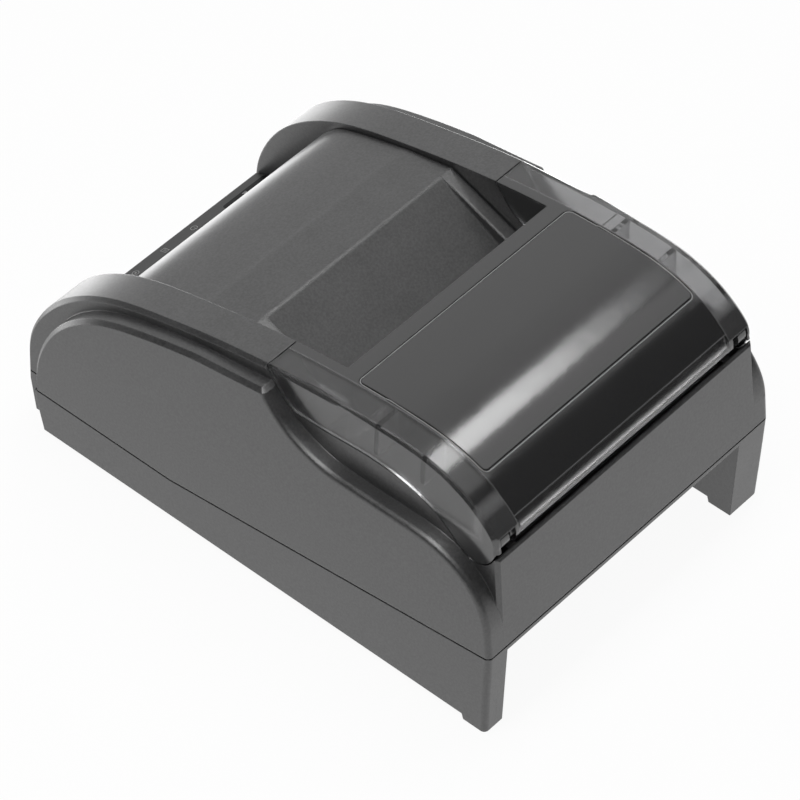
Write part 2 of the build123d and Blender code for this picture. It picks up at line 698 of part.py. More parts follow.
panel_screw = Pos(0, 9.0, -panel_gap - 2.2) * Cylinder(1.9, 1.2)
panel_screw = panel_screw + (Pos(0, 9.0, -panel_gap - 0.5) * Cylinder(0.8, 3.2))
panel_screws = Compound(children=[on_strip(Pos(x, 0, 0) * panel_screw) for x in (-22.0, 34.0)])

# Mechanism frame: bottom plate, side plates with open slots for the platen bushings, bars
frame_plate = 2.0
side_x = 33.5
side_thick = 2.0
contact_y = platen_y - (platen_radius + 0.02) * math.cos(math.radians(head_angle))
contact_z = platen_z - (platen_radius + 0.02) * math.sin(math.radians(head_angle))
head_plane = Plane(
    origin=(0, contact_y, contact_z), x_dir=(1, 0, 0),
    z_dir=(0, -math.cos(math.radians(head_angle)), -math.sin(math.radians(head_angle))),
)


def on_head(shape):
    """Place a shape drawn on the head: X across, Y up it, Z away from the platen."""
    return head_plane.location * shape


motor_radius = 9.0
first_distance = (platen_teeth + idler_small_teeth) / 2 * module * 1.01
idler_y = platen_y + first_distance * math.cos(math.radians(mesh_angle))
idler_z = platen_z + first_distance * math.sin(math.radians(mesh_angle))
motor_y = idler_y - (idler_large_teeth + pinion_teeth) / 2 * module * 1.01
motor_z = idler_z
side_face = poly(
    (-4, frame_plate_z), (38, frame_plate_z), (38, 56), (36.5, 64),
    (19.0, 64), (16.0, 66.5), (2, 66.5), (-4, 60),
)
swing = math.degrees(math.atan2(hinge_z - platen_z, hinge_y - platen_y))
slot_radius = bushing_radius + 0.06
slot_face = Pos(platen_y, platen_z) * Circle(slot_radius)
slot_open = Pos(platen_y, platen_z) * Rot(0, 0, swing) * poly(
    (-slot_radius, 0), (slot_radius, 0), (slot_radius + 1.6, 14), (-slot_radius - 1.6, 14))
slot_face = slot_face + slot_open
frame = block(-43, 43, -20, 38, frame_plate_z, frame_plate_z + frame_plate)
for side in (1, -1):
    x0, x1 = sorted((side * side_x, side * (side_x + side_thick)))
    frame = frame + side_plate(side_face, x0, x1)
    frame = frame - side_plate(slot_face, x0 - 0.1, x1 + 0.1)
bar_top = kink_z - cover_wall / math.cos(math.radians(29.7)) - 0.15 - 0.85


def under_ramp(y):
    return bar_top - (y - kink_y) * ramp_slope


bar_face = poly(
    (6.0, under_ramp(6.0)), (17.2, under_ramp(17.2)),
    (17.2, under_ramp(17.2) - 2.2), (6.0, under_ramp(6.0) - 3.0),
)
frame = frame + side_plate(bar_face, -side_x - 1, side_x + 1)
bar_web = poly((6.0, under_ramp(6.0)), (8.0, under_ramp(8.0)), (8.0, 60.0), (6.0, 60.0))
frame = frame + side_plate(bar_web, -side_x - 1, side_x + 1)
spring_xs = (-9.0, 21.0)
spring_bar = Pos(0, -4.0, 8.2) * Box(46.0, 18.0, 2.0)
spring_bar = Pos(10.5, 0, 0) * spring_bar
for x in spring_xs:
    spring_bar = spring_bar + Pos(x, -2.0, 9.0) * Cylinder(3.8, 3.6)
    spring_bar = spring_bar - Pos(x, -2.0, 7.0) * Cylinder(2.7, 5.7)
frame = frame + (on_head(spring_bar) & block(-33.6, 33.6, -20, 40, frame_plate_z + 0.5, 70))
for x in (-8.0, 6.0, 20.0, 32.0):
    gusset = poly((18.5, frame_plate_z + 1), (25.5, frame_plate_z + 1), (24.2, 41.5), (17.2, 50.5))
    frame = frame + side_plate(gusset, x - 0.8, x + 0.8)
# Opening under the large gear, ribbon opening, motor hole, post for the idler
frame = frame - block(-41.8, -35.6, idler_y - 11.5, idler_y + 11.5, 30, frame_plate_z + frame_plate + 0.1)
frame = frame - block(-16, 16, 33.0, 38.1, 30, frame_plate_z + frame_plate + 0.1)
frame = frame - rod(-side_x - side_thick - 1, -side_x + 1, motor_y, motor_z, 3.2)
post_radius = 1.5
frame = frame - rod(-side_x - side_thick - 1, -side_x + 1, idler_y, idler_z, post_radius)
pivot_y = contact_y + 17.0 * math.sin(math.radians(head_angle)) - 2.6 * math.cos(math.radians(head_angle))
pivot_z = contact_z - 17.0 * math.cos(math.radians(head_angle)) - 2.6 * math.sin(math.radians(head_angle))
pivot_radius = 1.25
for side in (1, -1):
    x0, x1 = sorted((side * (side_x - 1), side * (side_x + side_thick + 1)))
    frame = frame - rod(x0, x1, pivot_y, pivot_z, pivot_radius)
for x, y in frame_posts:
    frame = frame - post(x, y, 30, 40, 1.6)
mech_frame = frame

# Thermal head on its heat sink, pivot pins and two coil springs
thermal_head = on_head(Pos(0, -3.5, head_thickness / 2) * Box(56.0, 17.0, head_thickness))
sink = Pos(0, -4.5, head_thickness + sink_thickness / 2) * Box(60.0, 20.0, sink_thickness)
for x in (-27.0, 27.0):
    sink = sink + Pos(x, -15.6, 2.6) * Box(6.0, 6.4, 3.2)
sink = sink - Pos(0, -17.0, 2.6) * Rot(0, 90, 0) * Cylinder(pivot_radius + running_fit, 80)
for i in range(5):
    sink = sink - Pos(-22 + 11 * i, -11.5, head_thickness + sink_thickness) * Box(5.0, 5.0, 2.4)
heat_sink = on_head(sink)
pivot_inner_x = 23.6
pivot_outer_x = side_x + side_thick
pivot_pins = Compound(children=[
    rod(pivot_inner_x, pivot_outer_x, pivot_y, pivot_z, pivot_radius),
    rod(-pivot_outer_x, -pivot_inner_x, pivot_y, pivot_z, pivot_radius),
])
spring_wire = 0.3
coil = Helix(pitch=1.1, height=4.6, radius=2.0)
coil_start = Plane(origin=coil @ 0, z_dir=coil % 0)
one_spring = sweep(coil_start * Rectangle(2 * spring_wire, 2 * spring_wire), path=coil, is_frenet=True)
spring_seat = head_thickness + sink_thickness + spring_wire + 0.02
head_springs = Compound(children=[on_head(Pos(x, -2.0, spring_seat) * one_spring) for x in spring_xs])

# Tear bar: thin steel strip under the end of the ramp, serrated edge
teeth = 30
bar_half = 30.0
tear_front = 9.0
tear_edge = 19.9
tear_points = [(-bar_half, 0.0), (-bar_half, tear_edge - tear_front)]
for i in range(teeth):
    left = -bar_half + i * 2 * bar_half / teeth
    tear_points.append((left + bar_half / teeth, tear_edge - tear_front + 1.1))
    tear_points.append((left + 2 * bar_half / teeth, tear_edge - tear_front))
tear_points.append((bar_half, 0.0))
tear_plane = Plane(
    origin=(0, tear_front, under_ramp(tear_front)), x_dir=(1, 0, 0),
    z_dir=(0, math.sin(math.radians(29.7)), math.cos(math.radians(29.7))),
)
tear_bar = tear_plane.location * extrude(make_face(Polyline(*tear_points, close=True)), amount=0.7)

# Platen: shaft, rubber sleeve, bushings and gear
platen_shaft = rod(gear_inner_x - gear_width + 0.05, 37.4, platen_y, platen_z, shaft_radius)
platen_roller = rod(-platen_half, platen_half, platen_y, platen_z, platen_radius)
platen_roller = platen_roller - rod(-platen_half - 1, platen_half + 1, platen_y, platen_z, shaft_radius)
bushing_set = []
for side in (1, -1):
    x0, x1 = sorted((side * 30.0, side * 36.0))
    bushing = rod(x0, x1, platen_y, platen_z, bushing_radius)
    bushing = bushing - rod(x0 - 1, x1 + 1, platen_y, platen_z, shaft_radius + running_fit)
    bushing_set.append(bushing)
platen_bushings = Compound(children=bushing_set)


def gear_face(count, turn):
    """Side view of a spur gear; turn is the angle of one tooth's middle, in degrees."""
    pitch_radius = module * count / 2
    tip = pitch_radius + 0.85 * module
    root = pitch_radius - 1.15 * module
    points = []
    for i in range(count):
        middle = math.radians(turn + 360.0 * i / count)
        half_pitch = (math.pi / 4 * module - gear_backlash / 2) / pitch_radius
        for radius, half in (
            (root, half_pitch * 1.42), (pitch_radius, half_pitch), (tip, half_pitch * 0.42),
        ):
            points.append((radius * math.cos(middle - half), radius * math.sin(middle - half)))
        for radius, half in (
            (tip, half_pitch * 0.42), (pitch_radius, half_pitch), (root, half_pitch * 1.42),
        ):
            points.append((radius * math.cos(middle + half), radius * math.sin(middle + half)))
    return make_face(Polyline(*points, close=True))


gear_outer_x = gear_inner_x - gear_width
large_inner_x = gear_inner_x - gear_width - 0.4
platen_gear_face = Pos(platen_y, platen_z) * gear_face(platen_teeth, mesh_angle)
platen_gear = side_plate(platen_gear_face, gear_outer_x, gear_inner_x)
platen_gear = platen_gear - rod(gear_outer_x - 1, gear_inner_x + 1, platen_y, platen_z, shaft_radius)
idler_turn = mesh_angle + 180 + 180 / idler_small_teeth
idler_small = side_plate(
    Pos(idler_y, idler_z) * gear_face(idler_small_teeth, idler_turn), gear_outer_x - 0.1, gear_inner_x + 0.3)
idler_large = side_plate(
    Pos(idler_y, idler_z) * gear_face(idler_large_teeth, 180.0), large_inner_x - 1.6, gear_outer_x - 0.1)
idler_gear = idler_small + idler_large
idler_gear = idler_gear - rod(-50, -30, idler_y, idler_z, post_radius + running_fit)
for i in range(5):
    angle = math.radians(72 * i + 20)
    idler_gear = idler_gear - rod(
        -50, gear_outer_x - 0.1, idler_y + 7.4 * math.cos(angle), idler_z + 7.4 * math.sin(angle), 1.5)
motor_pinion = side_plate(
    Pos(motor_y, motor_z) * gear_face(pinion_teeth, 180.0 / pinion_teeth), large_inner_x - 1.6, -36.2)
motor_shaft_radius = 0.9
motor_pinion = motor_pinion - rod(-50, -30, motor_y, motor_z, motor_shaft_radius)
motor_shaft = rod(large_inner_x - 2.2, -side_x + 0.8, motor_y, motor_z, motor_shaft_radius)
gear_post = rod(large_inner_x - 1.9, -side_x, idler_y, idler_z, post_radius)
gear_post = gear_post + rod(large_inner_x - 2.6, large_inner_x - 1.8, idler_y, idler_z, 2.4)
stepper_motor = rod(-side_x, -side_x + 15.0, motor_y, motor_z, motor_radius)
stepper_motor = chamfer(stepper_motor.edges().group_by(Axis.X)[-1], 0.6)
motor_flange = block(-side_x, -side_x + 0.8, motor_y - 12.0, motor_y + 12.0, motor_z - 3.5, motor_z + 3.5)
stepper_motor = stepper_motor + motor_flange
stepper_motor = stepper_motor - rod(-side_x - 1, -side_x + 1.5, motor_y, motor_z, 1.6)

# Holder that hangs the platen under the lid
holder = block(-32.8, 32.8, 28.5, 42.0, holder_top_z - 1.8, holder_top_z)
for side in (1, -1):
    x0, x1 = sorted((side * 30.6, side * 32.8))
    arm = poly(
        (28.5, 88.0), (28.2, 70.0), (26.6, 60.0), (27.4, 54.8),
        (33.6, 54.8), (34.4, 60.0), (36.0, 72.0), (42.0, 88.0),
    )
    holder = holder + side_plate(arm, x0, x1)
    holder = holder - rod(x0 - 1, x1 + 1, platen_y, platen_z, bushing_radius)
holder = holder + block(-32.8, 32.8, 28.5, 30.1, 70.0, holder_top_z)
for x, y in holder_screws_at:
    holder = holder - post(x, y, 80, 90, 1.4)
platen_holder = holder
holder_low_z = holder_top_z - 1.8
holder_screws = Compound(children=[
    post(x, y, holder_low_z - 1.3, holder_low_z, 2.4) + post(x, y, holder_low_z - 0.2, holder_top_z + 4.6, 1.0)
    for x, y in holder_screws_at
])

# Cradle for the paper roll
deck_half = core_half_top - 2.3
cradle = block(-deck_half, deck_half, 40.0, 92.6, deck_z, deck_z + 2.0)
trough = rod(-bay_half - cradle_wall, bay_half + cradle_wall, roll_y, roll_z, bay_radius + cradle_wall)
trough = trough & block(-60, 60, 30, 100, 30, roll_z + 8.0)
cradle = cradle + trough
cradle = cradle - rod(-bay_half, bay_half, roll_y, roll_z, bay_radius)
cradle = cradle - block(-bay_half, bay_half, roll_y - bay_radius, roll_y + bay_radius, roll_z, 90)
cradle = cradle - block(-60, 60, 20, 40.5, 30, 90)
guide = poly((42.6, 48.6), (39.4, 45.0), (38.6, 45.4), (39.0, 47.6), (41.5, 50.0))
guide_half = bay_half + cradle_wall
cradle = cradle + (side_plate(guide, -guide_half, guide_half) & block(-60, 60, 38.6, 50, 40, 60))
for side in (1, -1):
    x0, x1 = sorted((side * (ear_inner_x - 0.6), side * (ear_outer_x + 1.0)))
    cradle = cradle - block(x0, x1, 83.0, 95.0, 60, 80)
cradle_screw_x = deck_half - 2.2
cradle_screws_at = tuple((x, y) for y in (48.0, 80.0) for x in (-cradle_screw_x, cradle_screw_x))
for x, y in cradle_screws_at:
    cradle = cradle - post(x, y, 60, 80, 1.5)
roll_cradle = cradle

# Screws
case_screws = Compound(children=[
    post(x, y, 9.6, 12.0, 2.8) + post(x, y, 11.8, seam_z(y) + 9.0, screw_radius) for x, y in case_posts
])
plate_top_z = frame_plate_z + frame_plate
frame_screws = Compound(children=[
    post(x, y, plate_top_z, plate_top_z + 1.6, 2.6)
    + post(x, y, frame_plate_z - 7.0, plate_top_z + 0.2, screw_radius)
    for x, y in frame_posts
])
board_top_z = board_bottom_z + board_thickness
board_screws = Compound(children=[
    post(x, y, board_top_z, board_top_z + 1.3, 2.2) + post(x, y, board_bottom_z - 3.4, board_top_z + 0.2, 1.0)
    for x, y in board_posts
])
for x, y in cradle_screws_at:
    upper_shell = upper_shell - post(x, y, deck_z - 3.5, deck_z + 1, 1.0)
cradle_screws = Compound(children=[
    post(x, y, deck_z + 2.0, deck_z + 3.2, 2.2) + post(x, y, deck_z - 2.6, deck_z + 2.2, 1.0)
    for x, y in cradle_screws_at
])

# Main board and what stands on it
main_board = block(-33.0, 33.0, board_front_y, board_rear_y, board_bottom_z, board_top_z)
main_board = main_board + block(33.0 - 0.1, 47.0, 44.0, board_rear_y, board_bottom_z, board_top_z)
for x, y in board_posts:
    main_board = main_board - post(x, y, 5, 15, 1.3)
power_jack = block(jack_x - 4.8, jack_x + 4.8, 52.0, recess_front_y - 0.2, board_top_z, board_top_z + 11.0)
jack_centre = Pos(jack_x, 60.0, board_top_z + 6.2) * Rot(90, 0, 0)
power_jack = power_jack - (jack_centre * Cylinder(3.1, 20.0) & block(0, 60, 55.0, 80, 0, 40))
power_jack = power_jack + (jack_centre * Cylinder(1.0, 10.4))
usb_socket = block(usb_x - 6.0, usb_x + 6.0, 49.6, recess_front_y - 0.2, board_top_z, board_top_z + 11.0)
usb_hole = poly((-4.3, -3.9), (4.3, -3.9), (4.3, 2.6), (2.9, 3.9), (-2.9, 3.9), (-4.3, 2.6))
usb_way = Pos(usb_x, 80.0, board_top_z + 5.5) * Rot(90, 0, 0) * extrude(usb_hole, amount=28.0)
usb_socket = usb_socket - usb_way
usb_socket = usb_socket + block(usb_x - 2.8, usb_x + 2.8, 51.0, 64.4, board_top_z + 4.1, board_top_z + 7.3)
low = board_top_z
drawer_socket = block(drawer_x - 7.0, drawer_x + 7.0, 48.0, recess_front_y - 0.2, low, low + 12.0)
drawer_socket = drawer_socket - block(drawer_x - 5.0, drawer_x + 5.0, 52.0, 80, low + 3.0, low + 10.4)
drawer_socket = drawer_socket - block(drawer_x - 1.8, drawer_x + 1.8, 52.0, 80, low + 1.2, low + 4.0)
switch_z = 18.0
switch_housing = block(switch_x - 6.5, switch_x + 6.5, 54.0, recess_front_y + 0.01, 9.1, 26.9)
bezel_half = 7.6
switch_housing = switch_housing + block(
    switch_x - bezel_half, switch_x + bezel_half, recess_front_y, recess_front_y + 1.6, 8.1, 27.9)
switch_housing = switch_housing - block(switch_x - 4.6, switch_x + 4.6, 57.5, 80, 10.9, 25.1)
rocker_y = 65.6
for side in (1, -1):
    x0, x1 = sorted((switch_x + side * 4.5, switch_x + side * 5.5))
    switch_housing = switch_housing - rod(x0, x1, rocker_y, switch_z, 0.9 + running_fit)
rocker_face = poly(
    (66.8, 24.2), (68.9, 24.9 - 0.3), (66.9, 18.0), (66.6, 11.6), (64.6, 11.4), (62.6, 18.0), (64.6, 24.4),
)
power_rocker = side_plate(rocker_face, switch_x - 4.3, switch_x + 4.3)
power_rocker = power_rocker + rod(switch_x - 5.3, switch_x + 5.3, rocker_y, switch_z, 0.9)
cans = ((24.0, 32.0, 5.0, 16.0), (24.0, 20.0, 5.0, 16.0), (-25.0, 38.0, 3.2, 9.0))
capacitors = Compound(children=[post(x, y, board_top_z, board_top_z + h, r) for x, y, r, h in cans])
main_chip = block(-9.0, 5.0, -14.0, 0.0, board_top_z, board_top_z + 1.6)
buzzer = post(-22.0, -38.0, board_top_z, board_top_z + 8.0, 6.0)
buzzer = buzzer - post(-22.0, -38.0, board_top_z + 6.0, board_top_z + 9.0, 1.2)


def connector(x0, x1, y0, y1, height, side_wall, end_wall, depth):
    """A connector on the board with an open top."""
    low = board_top_z + depth
    high = board_top_z + height
    body = block(x0, x1, y0, y1, board_top_z, high)
    return body - block(x0 + end_wall, x1 - end_wall, y0 + side_wall, y1 - side_wall, low, high + 1.0)


board_connectors = Compound(children=[
    connector(-17.0, 17.0, 33.0, 38.0, 3.0, 2.1, 1.0, 0.8),
    connector(-31.0, -26.0, 2.0, 14.0, 7.0, 0.8, 0.8, 1.5),
    connector(8.0, 20.0, -58.0, -53.0, 7.0, 0.8, 0.8, 1.5),
])

# Flat ribbon from the head down to the board
ribbon_low = board_top_z + 1.2
head_down = (math.sin(math.radians(head_angle)), -math.cos(math.radians(head_angle)))
ribbon_top = (contact_y + 12.05 * head_down[0] - 0.43, contact_z + 12.05 * head_down[1] - 0.25)
ribbon_turn = (ribbon_top[0] + 7.0 * head_down[0], ribbon_top[1] + 7.0 * head_down[1])
ribbon_path = Line(ribbon_top, ribbon_turn) + Spline(
    ribbon_turn, (36.4, 34.0), (35.9, 24.0), (35.5, ribbon_low), tangents=(head_down, (0, -1)),
)
ribbon_face = trace(ribbon_path, 0.3)
head_ribbon = side_plate(ribbon_face, -13.0, 13.0)

# Paper sensor at the front lip of the cradle
paper_sensor = block(-3.0, 3.0, 38.9, 42.6, 41.6, 44.9)

pieces = {
    "base_shell": base_shell,
    "upper_shell": upper_shell,
    "lid": lid,
    "hinge_pins": hinge_pins,
    "mech_cover": mech_cover,
    "control_strip": control_strip,
    "feed_button": feed_button,
    "light_pipes": light_pipes,
    "panel_board": panel_board,
    "panel_leds": panel_leds,
    "feed_switch": feed_switch,
    "switch_plunger": switch_plunger,
    "panel_screws": panel_screws,
    "mech_frame": mech_frame,
    "thermal_head": thermal_head,
    "heat_sink": heat_sink,
    "pivot_pins": pivot_pins,
    "head_springs": head_springs,
    "head_ribbon": head_ribbon,
    "tear_bar": tear_bar,
    "platen_shaft": platen_shaft,
    "platen_roller": platen_roller,
    "platen_bushings": platen_bushings,
    "platen_gear": platen_gear,
    "platen_holder": platen_holder,
    "holder_screws": holder_screws,
    "idler_gear": idler_gear,
    "gear_post": gear_post,
    "motor_pinion": motor_pinion,
    "motor_shaft": motor_shaft,
    "stepper_motor": stepper_motor,
    "roll_cradle": roll_cradle,
    "cradle_screws": cradle_screws,
    "paper_sensor": paper_sensor,
    "main_board": main_board,
    "power_jack": power_jack,
    "usb_socket": usb_socket,
    "drawer_socket": drawer_socket,
    "switch_housing": switch_housing,
    "power_rocker": power_rocker,
    "capacitors": capacitors,
    "main_chip": main_chip,
    "buzzer": buzzer,
    "board_connectors": board_connectors,
    "case_screws": case_screws,
    "frame_screws": frame_screws,
    "board_screws": board_screws,
    "rubber_feet": rubber_feet,
}
for name, shape in pieces.items():
    save(name, shape)
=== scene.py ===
import math
import bmesh
import bpy
from bpy.props import FloatProperty, FloatVectorProperty, IntProperty, PointerProperty
from mathutils import Matrix, Vector
from mathutils.bvhtree import BVHTree


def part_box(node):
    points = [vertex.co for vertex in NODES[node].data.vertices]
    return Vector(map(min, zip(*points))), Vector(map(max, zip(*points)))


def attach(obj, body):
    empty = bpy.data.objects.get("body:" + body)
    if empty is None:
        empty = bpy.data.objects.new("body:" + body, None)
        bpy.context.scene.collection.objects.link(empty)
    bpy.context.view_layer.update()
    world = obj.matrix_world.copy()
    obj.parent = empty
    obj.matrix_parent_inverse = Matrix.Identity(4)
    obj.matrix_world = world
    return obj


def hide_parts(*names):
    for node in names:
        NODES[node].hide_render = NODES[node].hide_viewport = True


bl_info = {
    "name": "Receipt printer",
    "version": (1, 0, 0),
    "blender": (4, 5, 0),
    "location": "View3D > Sidebar > Printer",
    "description": "Finishes, fasteners and small parts for a desktop receipt printer",
    "category": "Add Mesh",
}

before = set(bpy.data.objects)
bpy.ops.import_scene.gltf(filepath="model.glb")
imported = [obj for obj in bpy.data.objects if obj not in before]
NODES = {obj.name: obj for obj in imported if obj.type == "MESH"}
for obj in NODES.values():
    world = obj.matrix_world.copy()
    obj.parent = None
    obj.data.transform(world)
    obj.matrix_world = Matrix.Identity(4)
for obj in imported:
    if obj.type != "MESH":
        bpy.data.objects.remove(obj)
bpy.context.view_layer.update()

# Planes that pieces are set on, in metres: the control strip and the print head
STRIP_ORIGIN = Vector((0.0, -0.0996, 0.0299))
STRIP_TILT = math.radians(20.0)
HEAD_ORIGIN = Vector((0.0, 0.0261525, 0.05549))
HEAD_TILT = math.radians(30.0)

# The lid is darker between its side rims, low on its arms and at its knuckles
FIELD_EDGE = 0.0504
LIP_TOP = 0.0826
ARM_LOW = 0.0780
KNUCKLE_START = 0.0878
THICK_SHARE = 0.93

# Refractive index of the case's and the lid's plastic
PLASTIC_IOR = 1.58

# Share of white that the floor shows to the camera and in reflections
FLOOR_GLOW = 0.94

# Direction from the object to the middle of the pale wall
WALL_SIDE = (-0.76, -0.65, 0.0)

# Outline of the lid's framed field
FIELD_WIDTH = 0.1000
FIELD_FRONT = 0.0297
FIELD_REAR = 0.0814
FIELD_CORNER = 0.0025

# Height of the bead over the groove's floor, and the spacing of the points along it
BEAD_HEIGHT = 0.00030
BEAD_STEP = 0.0015

# Printed signs and film on the strip: thickness, lift over the strip, and places across and up it
INK_HEIGHT = 0.00003
INK_LIFT = 0.00001
LIGHT_SIGNS_ACROSS = (-0.0125, 0.0015, 0.0155)
LIGHT_SIGNS_UP = 0.0034
BUTTON_SIGN = (-0.0354, 0.0056)

# Film around the button: place up the strip, width, height and corner radius
FILM_OUTSIDE = (0.0128, 0.0206, 0.0184, 0.0012)
FILM_WINDOW = (0.0130, 0.0181, 0.0117, 0.0024)

# Places of the two springs on the print head: across it, up it and behind it
SPRINGS_ACROSS = (-0.009, 0.021)
SPRINGS_UP = -0.002
SPRINGS_BEHIND = 0.00433

# Rows of contacts, the USB socket's on both sides of its tongue: socket, how many, spacing, size of one,
# place from front to rear, height over the board and lean in degrees
CONTACT_ROWS = (
    ("drawer_socket", 6, 0.00127, (0.0004, 0.0105, 0.00035), 0.0580, 0.0096, -14.0),
    ("usb_socket", 2, 0.0025, (0.0010, 0.0090, 0.00018), 0.0590, 0.0040, 0.0),
    ("usb_socket", 2, 0.0025, (0.0010, 0.0090, 0.00018), 0.0590, 0.0074, 0.0))

# Free areas of the board for small parts, as x from and to, y from and to
PART_AREAS = ((-0.028, -0.012, -0.028, 0.0), (0.008, 0.028, -0.045, 0.012), (-0.012, 0.02, 0.004, 0.028))

WHITE = (1.0, 1.0, 1.0, 1.0)


class CaseFinish(bpy.types.PropertyGroup):
    """Moulded case plastic."""
    colour: FloatVectorProperty(
        name="Case colour", description="Colour of the moulded case", subtype="COLOR", size=3,
        min=0.0, max=1.0, default=(0.034, 0.034, 0.0345))
    roughness: FloatProperty(
        name="Case roughness", description="Roughness of the case's satin surface",
        default=0.35, min=0.0, max=1.0)
    grain: FloatProperty(
        name="Grain", description="Width of one grain of the mould texture",
        default=0.00042, unit="LENGTH")
    edge: FloatProperty(
        name="Edge rounding", description="Radius that the case's edges shade with",
        default=0.0005, unit="LENGTH")


class LidFinish(bpy.types.PropertyGroup):
    """Smoky lid plastic."""
    tint: FloatVectorProperty(
        name="Lid tint", description="Tint of the smoky plastic", subtype="COLOR", size=3,
        min=0.0, max=1.0, default=(0.54, 0.54, 0.545))
    field: FloatVectorProperty(
        name="Field colour", description="Colour of the lid's darker middle", subtype="COLOR", size=3,
        min=0.0, max=1.0, default=(0.022, 0.022, 0.0225))
    clear: FloatProperty(
        name="Clearness", description="Share of light that the lid's rim lets through",
        default=0.97, min=0.0, max=1.0)
    field_clear: FloatProperty(
        name="Field clearness", description="Share of light that the middle lets through",
        default=0.25, min=0.0, max=1.0)
    groove: FloatProperty(
        name="Groove width", description="Width of the field's groove", default=0.0009, unit="LENGTH")
    bead: FloatProperty(
        name="Bead radius", description="Radius of the bead in the groove",
        default=0.00017, unit="LENGTH")
    roughness: FloatProperty(
        name="Lid roughness", description="Roughness of the lid's polish",
        default=0.14, min=0.0, max=1.0)


class ScrewSizes(bpy.types.PropertyGroup):
    """Pan-head screws with a crossed recess."""
    recess_width: FloatProperty(
        name="Recess width", description="Width of one arm of the cross", default=0.00062, unit="LENGTH")
    recess_depth: FloatProperty(
        name="Recess depth", description="Depth of the cross", default=0.0006, unit="LENGTH")
    thread_pitch: FloatProperty(
        name="Thread pitch", description="Distance from one turn of thread to the next",
        default=0.0008, unit="LENGTH")


class SpringSizes(bpy.types.PropertyGroup):
    """Springs behind the print head."""
    wire: FloatProperty(
        name="Wire radius", description="Radius of the spring wire", default=0.0003, unit="LENGTH")
    coil: FloatProperty(
        name="Coil radius", description="Radius of the coil's centre line", default=0.002, unit="LENGTH")
    length: FloatProperty(
        name="Coil length", description="Length along the coil", default=0.0046, unit="LENGTH")
    turns: FloatProperty(name="Turns", description="Number of turns", default=4.2, min=1.0)


class BoardSizes(bpy.types.PropertyGroup):
    """Small parts on the main board."""
    chip_length: FloatProperty(
        name="Chip length", description="Length of a small part", default=0.0020, unit="LENGTH")
    chip_width: FloatProperty(
        name="Chip width", description="Width of a small part", default=0.0012, unit="LENGTH")
    chip_height: FloatProperty(
        name="Chip height", description="Height of a small part", default=0.0006, unit="LENGTH")
    seed: IntProperty(
        name="Seed", description="Fixed seed for the scatter of small parts", default=7, min=0)


class StageLook(bpy.types.PropertyGroup):
    """Floor, light and camera."""
    floor: FloatVectorProperty(
        name="Floor colour", description="Colour of the plain floor", subtype="COLOR", size=3,
        min=0.0, max=1.0, default=(0.86, 0.86, 0.86))
    backdrop: FloatProperty(
        name="Backdrop", description="Strength of the pale wall behind", default=0.62, min=0.0)
    room: FloatProperty(
        name="Room", description="Strength of the darker room around", default=0.07, min=0.0)
    key: FloatProperty(
        name="Key light", description="Power of the long overhead light", default=10.5, unit="POWER")
    fill: FloatProperty(
        name="Fill light", description="Power of the fill light", default=2.4, unit="POWER")
    card: FloatProperty(
        name="Light table", description="Power of the lit panel on the floor in front",
        default=2.8, unit="POWER")


class PrinterSettings(bpy.types.PropertyGroup):
    """All sizes and finishes of the printer."""
    case: PointerProperty(type=CaseFinish)
    lid: PointerProperty(type=LidFinish)
    screws: PointerProperty(type=ScrewSizes)
    springs: PointerProperty(type=SpringSizes)
    board: PointerProperty(type=BoardSizes)
    stage: PointerProperty(type=StageLook)


# Material building

def new_material(name):
    """A node material with a principled shader, and the piece's own coordinates."""
    mat = bpy.data.materials.new(name)
    mat.use_nodes = True
    tree = mat.node_tree
    tree.nodes.clear()
    shader = add(tree, "ShaderNodeBsdfPrincipled")
    out = add(tree, "ShaderNodeOutputMaterial")
    link(shader.outputs[0], out.inputs["Surface"])
    return mat, tree, shader, add(tree, "ShaderNodeTexCoord").outputs["Object"]


def add(tree, kind, **values):
    """A node with its properties and its unlinked inputs set."""
    node = tree.nodes.new(kind)
    for key, value in values.items():
        if hasattr(node, key):
            setattr(node, key, value)
        else:
            node.inputs[key.replace("_", " ")].default_value = value
    return node


def link(a, b):
    """Joins two sockets of one tree."""
    a.id_data.links.new(a, b)


def wire(*joints):
    """Joins named sockets: each joint is a node, its output, another node and its input."""
    for source, output, target, entry in joints:
        link(source.outputs[output], target.inputs[entry])


def noise(place, scale, detail=2.0, roughness=0.5):
    """An even, cloudy pattern between 0 and 1."""
    node = add(place.id_data, "ShaderNodeTexNoise", Scale=scale, Detail=detail, Roughness=roughness)
    link(place, node.inputs["Vector"])
    return node.outputs["Fac"]


def join(operation, first, second):
    """Two numbers joined by one operation."""
    node = add(first.id_data, "ShaderNodeMath", operation=operation)
    link(first, node.inputs[0])
    link(second, node.inputs[1])
    return node.outputs[0]


def ramp(value, low, high, start=0.3, end=0.7):
    """Turns a texture value into a number between low and high."""
    node = add(
        value.id_data, "ShaderNodeMapRange", From_Min=start, From_Max=end, To_Min=low, To_Max=high)
    link(value, node.inputs["Value"])
    return node.outputs["Result"]


def colour_mix(share):
    """A mix of two colours by a value, and its sockets: the two colours and the result."""
    node = add(share.id_data, "ShaderNodeMix", data_type="RGBA")
    link(share, node.inputs[0])
    return node.inputs[6], node.inputs[7], node.outputs[2]


def step(value, place, soft, below, above):
    """A number that changes at one place, over a short soft stretch."""
    return ramp(value, below, above, place - soft, place + soft)


def blend_colours(share, first, second):
    """A mix of two plain colours by a value."""
    low, high, mixed = colour_mix(share)
    low.default_value = (*first, 1.0)
    high.default_value = (*second, 1.0)
    return mixed


def tone(colour, factor):
    """A colour made darker or lighter."""
    return tuple(min(1.0, c * factor) for c in colour)


